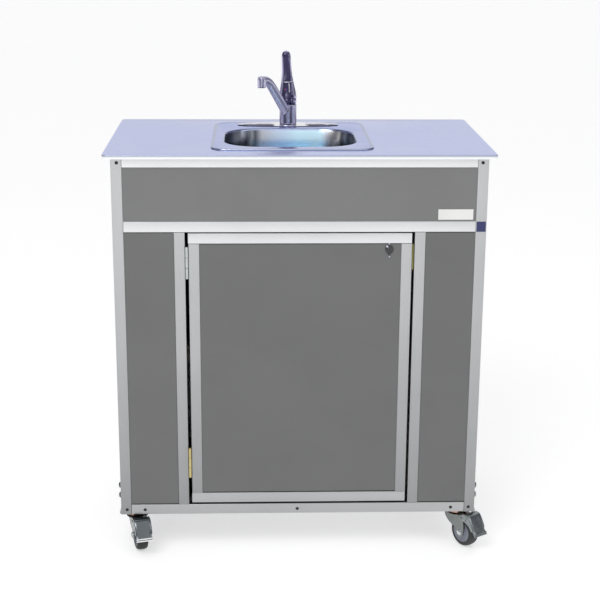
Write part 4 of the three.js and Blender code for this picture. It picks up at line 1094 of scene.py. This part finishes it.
TREAD_HALF = [(26.6, -12.6), (27.2, -13.2), (31.5, -13.4), (33.8, -12.8), (35.4, -11.2)]
TREAD_HALF += [(36.6, -8.4), (37.2, -5.2), (37.5, -1.8)]
HUB_HALF = [(5.4, -14), (10.2, -14), (11.1, -13.4), (11.7, -11.3), (13, -10.7), (15.4, -10.6)]
HUB_HALF += [(16.2, -9.7), (18.4, -9.7), (19.2, -10.5), (22.4, -10.3), (24.2, -10.5)]
HUB_HALF += [(25.4, -12), (26.6, -12.8)]


def pedal(drop):
    """A pressed channel on two side cheeks, lowered by drop where it is nearest the fork."""
    # y, z, half width, depth of the walls, and how far the middle is pressed in
    stations = [(-47, -6 - drop, 20.6, 12, 0), (-54, -6.1 - drop, 20.6, 15, 0)]
    stations += [(-60, -6.6 - drop, 20.6, 17, 0), (-64, -9 - 0.8 * drop, 20.6, 17, 0.1)]
    stations += [(-67.5, -13.5 - 0.5 * drop, 20.6, 16, 0.25), (-72, -20.5 - 0.2 * drop, 20.4, 14, 0.3)]
    stations += [(-76.5, -27.6, 19.6, 11, 0.25), (-80, -33.5, 18.6, 8, 0.1), (-82.4, -38.4, 18.4, 6, 0)]
    stations += [(-84.6, -42.6, 19, 4.6, 0), (-87.4, -46.2, 20, 3.6, 0.7), (-89.6, -48.8, 20.4, 3, 0)]
    stations += [(-90.5, -51.5, 20.6, 2.4, 0)]
    path = [Vector((0, y, z)) for y, z, *_ in stations]
    rings = []
    for i, (_, _, width, depth, press) in enumerate(stations):
        ahead = path[min(i + 1, len(path) - 1)] - path[max(i - 1, 0)]
        inward = Vector((0, -ahead.z, ahead.y)).normalized()
        if inward.y < 0 or (abs(inward.y) < 0.2 and inward.z > 0):
            inward = -inward
        outer = [(-width, depth), (-width, 3), (0.9 - width, 0.9), (3 - width, 0)]
        outer += [(-0.6 * width, 0), (-0.48 * width, press), (0, press)]
        outer += [(-u, v) for u, v in reversed(outer[:-1])]
        shrink = 1 - 2 / width
        inner = [(u * shrink, max(v, 0.4) + 1.6 if v < depth else v) for u, v in reversed(outer)]
        rings.append([tuple(path[i] + Vector((u, 0, 0)) + inward * v) for u, v in outer + inner])
    side = [(-33, -14), (-35, -12.6), (-38, -12), (-47, -6.3 - drop), (-59, -7 - drop)]
    side += [(-66, -13 - 0.6 * drop), (-78, -32)]
    side += [(-80, -39), (-76, -43), (-66, -31), (-52, -26), (-38, -25.5), (-34, -24), (-33, -21)]
    return merged(loft(rings), *both_sides(side, 18.4, 20.5))


TURNS = {"left": 15.5, "right": 34}  # how the front forks stand in the photo, in degrees
for side, name in ((-1, "left"), (1, "right")):
    x, turn = side * CASTER_X, TURNS[name]
    front = "caster_front_" + name
    spot = (x, CASTER_Y, turn)
    plate_spot = (x, CASTER_Y, 0)
    rear_spot = (x, DEPTH - CASTER_Y, 0)
    shape = on_caster(merged(*top_plate()), *plate_spot)
    look(front + "_plate", shape, "cart", ZINC, "zinc", 30)
    race = [(0, -1), (23.5, -1), (25.2, -2), (26, -4.5), (26, -8.5), (25.2, -11.4), (23.4, -12.6)]
    race += [(22.6, -13.4), (22.6, -14.4), (20, -16.4), (0, -16.4)]
    shape = on_caster(lathe(race, (0, 0, 0), sides=72), *plate_spot)
    piece(f"{front}_race", *shape, "cart", COPPER, "brass", (), 40)
    shape = on_caster(swivel_fork(), *spot)
    body = "fork_front_" + name
    look(front + "_fork", shape, body, FORK_ZINC, "zinc", bevel=0.5)
    shape = on_caster(pedal(3 if name == "left" else 0), *spot)
    # The left pedal takes the lighter, mottled copy of the zinc: painted highlights.
    finish = HIGHLIT_PEDAL if name == "left" else PEDAL
    look(front + "_pedal", shape, "pedal_front_" + name, finish, "zinc", 28)
    shape = on_caster(rigid_fork(), *rear_spot)
    look(f"caster_rear_{name}_fork", shape, "cart", FORK_ZINC, "zinc", bevel=0.5)
    for holder, where, y in ((body, spot, -TRAIL), ("cart", rear_spot, 0)):
        shape = on_caster(merged(*axle_bolts(y)), *where)
        end = "rear" if holder == "cart" else "front"
        piece(f"axle_bolts_{end}_{name}", *shape, holder, ZINC, "zinc", (), 34)
    # The left pedal's lips are thicker and in the near-white metal as painted highlights; the right's
    # are in the pedal's zinc.
    lip_metal, thick = (HIGHLIGHT_METAL, 2.0) if name == "left" else (PEDAL, 1.4)
    spans = ((19.5, -88.2, -47), (20, -88.9, -51.8))
    lips = [sweep([(-w, y, z), (w, y, z)], thick, 16) for w, y, z in spans]
    shape = on_caster(merged(*lips), *spot)
    piece(f"pedal_lips_{name}", *shape, "pedal_front_" + name, lip_metal, "zinc", (), 40, 0.3)
    for end, where, y in (("front", spot, -TRAIL), ("rear", rear_spot, 0)):
        body = f"wheel_{end}_{name}"
        node = f"caster_{end}_{name}_wheel"
        shape = on_caster(lathe(mirrored(TREAD_HALF), (0, y, AXLE_Z), "x", 128), *where)
        piece(node + "_tread", *shape, body, RUBBER, "tread", (), 30)
        shape = on_caster(lathe(mirrored(HUB_HALF), (0, y, AXLE_Z), "x", 96), *where)
        look(node, shape, body, HUB, "tread", 30)

# ---- water system -------------------------------------------------------------------------
FLOOR_Z = 25  # top of the cabinet's floor board
STAND_Z = FLOOR_Z + GAP
NECK = 29  # radius of both jugs' necks
RIB_PITCH = 60
HOSE_RADIUS = 8


def jug(x, y, width, length, height, neck_x, neck_y, neck_top, thread):
    """A hollow ribbed jug. The rings run up the outside, over the neck and down the inside."""
    foot, head = STAND_Z, STAND_Z + height

    def wall(inset, corner, z):
        return rounded_ring(x, y, width - 2 * inset, length - 2 * inset, corner, z)

    def neck(radius, z):
        return circle_ring(neck_x, neck_y, radius, z)

    rings = [wall(10, 16, foot), wall(5, 19, foot + 0.8), wall(2.2, 22, foot + 3)]
    rings.append(wall(0, 24, foot + 10))
    for level in range(4):
        z = foot + 58 + RIB_PITCH * level
        rings += [wall(0, 24, z - 9), wall(0.8, 23.4, z - 6.5), wall(2.2, 22, z - 4.5)]
        rings += [wall(2.2, 22, z + 4.5), wall(0.8, 23.4, z + 6.5), wall(0, 24, z + 9)]
    rings += [wall(0, 24, head - 20), wall(1.6, 24, head - 13), wall(5, 24, head - 6)]
    rings += [wall(10, 25, head - 2), wall(16, 26, head), neck(NECK + 5, head + 5.6)]
    rings += [neck(NECK + 1.5, head + 7), neck(NECK, head + 9)]
    for z in (neck_top - 11, neck_top - 6) if thread else ():
        rings += [neck(NECK, z - 1.6), neck(NECK + 1.5, z - 0.6), neck(NECK + 1.5, z + 0.6)]
        rings.append(neck(NECK, z + 1.6))
    rings += [neck(NECK, neck_top - 0.5), neck(NECK - 0.5, neck_top), neck(NECK - 3, neck_top)]
    rings += [neck(NECK - 3, head + 6), wall(17, 24, head - 3), wall(8, 22, head - 9)]
    rings += [wall(3, 21, head - 21), wall(3, 21, foot + 10), wall(11, 15, foot + 3)]
    return loft(rings)


def handle(x, y, head):
    """A round grip, bowed over a jug's top."""
    path = [(x - 62, y, head - 8), (x - 60, y, head + 12), (x - 48, y, head + 26), (x, y, head + 29)]
    path += [(x + 48, y, head + 26), (x + 60, y, head + 12), (x + 62, y, head - 8)]
    return sweep(curved(path, 8), 7.5, 20)


WASTE_AT = (BOWL_AT[0], 262)
WASTE_SIZE = (244, 340, 325)
FRESH_AT = (242, 262)
FRESH_SIZE = (232, 330, 315)
CAP_SIDES = 144
shape = merged(jug(*WASTE_AT, *WASTE_SIZE, *BOWL_AT, 374, True), handle(WASTE_AT[0], 370, 350.3))
look("tank_waste", shape, "cart", JUG_GREY, "jug_grey", 34)
shape = merged(jug(*FRESH_AT, *FRESH_SIZE, *FRESH_AT, 366, False), handle(FRESH_AT[0], 370, 340.3))
look("tank_fresh", shape, "cart", MILKY, "jug_clear", 34)


def gripped_ring(radius, depth, z):
    """A ring of the fresh water cap, notched at every third point."""
    ring = []
    for i in range(CAP_SIDES):
        r = radius - (depth if i % 3 == 0 else 0)
        angle = 2 * math.pi * i / CAP_SIDES
        ring.append((FRESH_AT[0] + r * math.cos(angle), FRESH_AT[1] + r * math.sin(angle), z))
    return ring


cap_rings = [(32.8, 0.5, 352), (33.2, 0.8, 353), (33.2, 0.8, 367), (32.6, 0.4, 369.4), (31, 0, 370.5)]
cap_rings += [(10, 0, 370.5), (8.7, 0, 370.2), (8.7, 0, 366.6), (29.6, 0, 366.6), (29.6, 0, 352)]
shape = loft([gripped_ring(*r) for r in cap_rings], looped=True)
piece("look_fresh_cap", *shape, "fresh_cap", BLACK, "black_plastic", ["tank_fresh_cap"], 25)

HEATER_AT = (-277.5, 320)
HEATER_SIZE = (235, 270)


def heater_ring(inset, corner, z):
    width, length = [size - 2 * inset for size in HEATER_SIZE]
    return rounded_ring(*HEATER_AT, width, length, corner, z)


rings = [(6, 14, STAND_Z), (2.6, 17.6, 26.6), (0.6, 19.4, 29), (0, 20, 32), (0, 20, 350)]
rings += [(1.3, 19, 351), (1.3, 19, 353.4), (0, 20, 354.4), (0, 20, 365), (0.8, 19.4, 368.4)]
rings += [(2.8, 17.4, 371), (6, 14, 372)]
shape = loft([heater_ring(*r) for r in rings])
look("water_heater", shape, "cart", ENAMEL, "white_enamel", 34)
COLD_IN, HOT_OUT = (-215, 262), (-335, 262)
TEE_Z = 394


def pipe(low, high, radius=9):
    """The profile of a round bar with softened ends."""
    rim = radius - 0.5
    return [(0, low), (rim, low), (radius, low + 0.5), (radius, high - 0.5), (rim, high), (0, high)]


shapes = [lathe(pipe(371, 410), (*COLD_IN, 0), sides=32)]
shapes.append(lathe(pipe(371, 396), (*HOT_OUT, 0), sides=32))
shapes.append(lathe(pipe(COLD_IN[0], COLD_IN[0] + 24), (0, COLD_IN[1], TEE_Z), "x", 32))
for x, y in (COLD_IN, HOT_OUT):
    shapes.append(lathe(pipe(372, 380, 13), (x, y, 0), sides=6))
piece("heater_pipes", *merged(*shapes), "cart", BRASS, "brass", bevel=0.4)
HEATER_FRONT = 185.4  # just inside its front face
DIAL_Z = 110
dial = [(0, 172), (12, 172), (14.5, 173.5), (15.5, 176), (16.5, 184), (19, 184.6)]
dial += [(19, HEATER_FRONT), (0, HEATER_FRONT)]
lamp = [(0, 181), (2.6, 181.6), (4, 183.4), (4.4, HEATER_FRONT), (0, HEATER_FRONT)]
piece("heater_dial", *lathe(dial, (HEATER_AT[0], 0, DIAL_Z), "y", 48), "cart", BLACK, "black_plastic")
shape = lathe(lamp, (HEATER_AT[0] + 45, 0, DIAL_Z), "y", 32)
piece("heater_lamp", *shape, "cart", RED_DOT, "hose_red")

PUMP_Y, PUMP_Z = 95, 78  # the motor's axis
FIN_PITCH = 9
motor = [(0, -385), (22, -385), (29, -383.5), (33, -380), (34, -375)]
for fin in range(11):
    x = -370 + FIN_PITCH * fin
    motor += [(34, x), (34, x + 3.4), (31.4, x + 4.2), (31.4, x + 7.8)]
motor += [(34, -269), (34, -264), (0, -264)]
piece("pump_motor", *lathe(motor, (0, PUMP_Y, PUMP_Z), "x", 64), "cart", PUMP_GREY, "black_plastic")
head_low, head_high = (-265, PUMP_Y - 38, PUMP_Z - 42), (-200, PUMP_Y + 38, PUMP_Z + 40)
shapes = [box_shape(head_low, head_high), box_shape((-360, 49, STAND_Z), (-225, 141, 31.3))]
shapes += [box_shape((x0, 75, 30), (x1, 115, 62)) for x0, x1 in ((-345, -325), (-262, -225))]
look("pump", merged(*shapes), "cart", BLACK, "black_plastic", bevel=2.5)
barbed = [(0, -201), (9, -201), (9, -194), (7.6, -191), (9, -190), (7.6, -186), (9, -185)]
barbed += [(8, -182), (0, -182)]
upright = [(0, 116), (9, 116), (9, 122), (7.6, 125), (9, 126), (7.6, 130), (9, 131), (8, 136)]
upright.append((0, 136))
shapes = [lathe(barbed, (0, PUMP_Y, PUMP_Z), "x", 32), lathe(upright, (-232, PUMP_Y, 0), sides=32)]
screw = [(0, -198.4), (2.6, -198.6), (3.6, -199.4), (3.6, -200.3), (0, -200.3)]
shapes += [lathe(screw, (0, PUMP_Y + y, PUMP_Z + z), "x", 20) for y in (-30, 30) for z in (-34, 32)]
piece("pump_ports", *merged(*shapes), "cart", ZINC, "zinc")

HOSES = {
    "hose_suction": (
        [(*FRESH_AT, 42), (*FRESH_AT, 200), (*FRESH_AT, 372), (*FRESH_AT, 400), (205, 200, 452)]
        + [(110, 105, 462), (0, 66, 430), (-90, 62, 330), (-132, 68, 200), (-140, 84, 108)]
        + [(-160, PUMP_Y, PUMP_Z), (-181.7, PUMP_Y, PUMP_Z)],
        MILKY_HOSE,
        "hose_clear",
    ),
    "hose_feed": (
        [(-232, PUMP_Y, 136.3), (-232, PUMP_Y, 230), (-230, 104, 390), (-222, 150, 450)]
        + [(-215, 225, 458), (*COLD_IN, 430), (*COLD_IN, 410.3)],
        HOSE_BLUE,
        "hose_blue",
    ),
    "hose_cold": (
        [(COLD_IN[0] + 24.3, COLD_IN[1], TEE_Z), (-172, COLD_IN[1], TEE_Z), (-120, 300, 430)]
        + [(-50, 400, 540), (10, 440, 680), (SHANKS[1], 416, 775)]
        + [(SHANKS[1], FAUCET[1], SHANK_FOOT - 20), (SHANKS[1], FAUCET[1], SHANK_FOOT - GAP)],
        HOSE_BLUE,
        "hose_blue",
    ),
    "hose_hot": (
        [(*HOT_OUT, 396.3), (*HOT_OUT, 425), (-325, 300, 500), (-240, 390, 610)]
        + [(-130, 430, 710), (SHANKS[0], 416, 775), (SHANKS[0], FAUCET[1], SHANK_FOOT - 20)]
        + [(SHANKS[0], FAUCET[1], SHANK_FOOT - GAP)],
        HOSE_RED,
        "hose_red",
    ),
}
for node, (route, material, slot) in HOSES.items():
    look(node, sweep(curved(route, 8), HOSE_RADIUS, 20), "cart", material, slot)


def clamp(where, axis):
    """A band round a hose's end."""
    band = [(8.1, -4), (9.6, -4), (9.9, -3.6), (9.9, 3.6), (9.6, 4), (8.1, 4)]
    return lathe(band, where, axis, 40)


ENDS = [((-232, PUMP_Y, 143), "z"), ((*COLD_IN, 417), "z"), ((-184, COLD_IN[1], TEE_Z), "x")]
ENDS += [((SHANKS[1], FAUCET[1], 834), "z"), ((*HOT_OUT, 404), "z"), ((SHANKS[0], FAUCET[1], 834), "z")]
ENDS += [((-176, PUMP_Y, PUMP_Z), "x")]
piece("hose_clamps", *merged(*(clamp(*end) for end in ENDS)), "cart", ZINC, "zinc", bevel=0.2)
grommet = [(8.6, 370.6), (12.5, 370.6), (12.4, 372), (10.4, 374), (8.6, 374.2)]
piece("cap_grommet", *lathe(grommet, (*FRESH_AT, 0), sides=48), "fresh_cap", BLACK, "black_plastic")

# ---- camera, lights and floor -------------------------------------------------------------
CAMERA_AT = (-108.2, -3082.2, 1433.7)
YAW, PITCH, ROLL = 0.0353, 0.2815, 0.0063
FOCAL = 82.5
SENSOR = 36
AIM = Vector((0, 0, 0.7))  # where both lights point, in metres
FLOOR_HALF = 60
BACKDROP = 1.12  # what the camera sees behind the floor
WORLD_STRENGTH = 0.85


def camera():
    level = math.cos(PITCH)
    ahead = Vector((math.sin(YAW) * level, math.cos(YAW) * level, -math.sin(PITCH)))
    right = Vector((math.cos(YAW), -math.sin(YAW), 0))
    up = right.cross(ahead)
    rolled_right = right * math.cos(ROLL) + up * math.sin(ROLL)
    rolled_up = up * math.cos(ROLL) - right * math.sin(ROLL)
    lens = bpy.data.cameras.new("camera")
    lens.lens = FOCAL
    lens.sensor_width = SENSOR
    thing = bpy.data.objects.new("camera", lens)
    bpy.context.scene.collection.objects.link(thing)
    axes = Matrix((rolled_right, rolled_up, -ahead)).transposed().to_4x4()
    thing.matrix_world = Matrix.Translation(at(*CAMERA_AT)) @ axes
    bpy.context.scene.camera = thing


def light(name, where, size, power):
    data = bpy.data.lights.new(name, "AREA")
    data.shape = "RECTANGLE"
    data.size, data.size_y = size
    data.energy = power
    thing = bpy.data.objects.new(name, data)
    bpy.context.scene.collection.objects.link(thing)
    thing.location = where
    thing.rotation_euler = (AIM - Vector(where)).to_track_quat("-Z", "Y").to_euler()


def studio_world():
    """Metal mirrors pale and dark bands from left to right, and the camera sees a plain backdrop."""
    world = bpy.data.worlds.new("studio")
    bpy.context.scene.world = world
    world.use_nodes = True
    tree = world.node_tree
    split = tree.nodes.new("ShaderNodeSeparateXYZ")
    tree.links.new(tree.nodes.new("ShaderNodeTexCoord").outputs["Generated"], split.inputs[0])
    stops = [(0.0, (0.75, 0.76, 0.80)), (0.06, (0.10, 0.10, 0.14)), (0.20, (0.12, 0.12, 0.16))]
    stops += [(0.26, (0.95, 0.95, 0.95)), (0.74, (1.0, 1.0, 1.0)), (0.80, (0.14, 0.14, 0.18))]
    stops += [(0.94, (0.10, 0.10, 0.14)), (1.0, (0.8, 0.8, 0.82))]
    bands = ramp_of(tree, remap_of(tree, split.outputs[0], -1, 1), stops)
    seen = tree.nodes.new("ShaderNodeMix")
    seen.data_type = "RGBA"
    camera_ray = tree.nodes.new("ShaderNodeLightPath").outputs["Is Camera Ray"]
    tree.links.new(camera_ray, seen.inputs[0])
    tree.links.new(bands, seen.inputs[6])
    seen.inputs[7].default_value = (BACKDROP, BACKDROP, BACKDROP, 1)
    background = tree.nodes["Background"]
    tree.links.new(seen.outputs[2], background.inputs["Color"])
    background.inputs["Strength"].default_value = WORLD_STRENGTH


def studio_floor():
    s = Surface("studio_floor", roughness=0.7, Emission_Color=(1, 1, 1, 1), Emission_Strength=0.5)
    s.colour(s.blend(s.noise(2, 2), (0.72, 0.72, 0.72), (0.75, 0.75, 0.75)))
    mesh = bpy.data.meshes.new("floor")
    corners = [(x * FLOOR_HALF, y * FLOOR_HALF, 0) for x, y in ((-1, -1), (1, -1), (1, 1), (-1, 1))]
    mesh.from_pydata(corners, [], [(0, 1, 2, 3)])
    mesh.materials.append(s.material)
    floor = bpy.data.objects.new("floor", mesh)
    bpy.context.scene.collection.objects.link(floor)


camera()
light("key", (-1.4, -2.4, 3.3), (2.4, 1.6), 46)
light("fill", (2.6, -1.8, 2.4), (1.6, 1.6), 12)
studio_world()
studio_floor()
scene = bpy.context.scene
scene.view_settings.view_transform = "Standard"
scene.view_settings.look = "None"
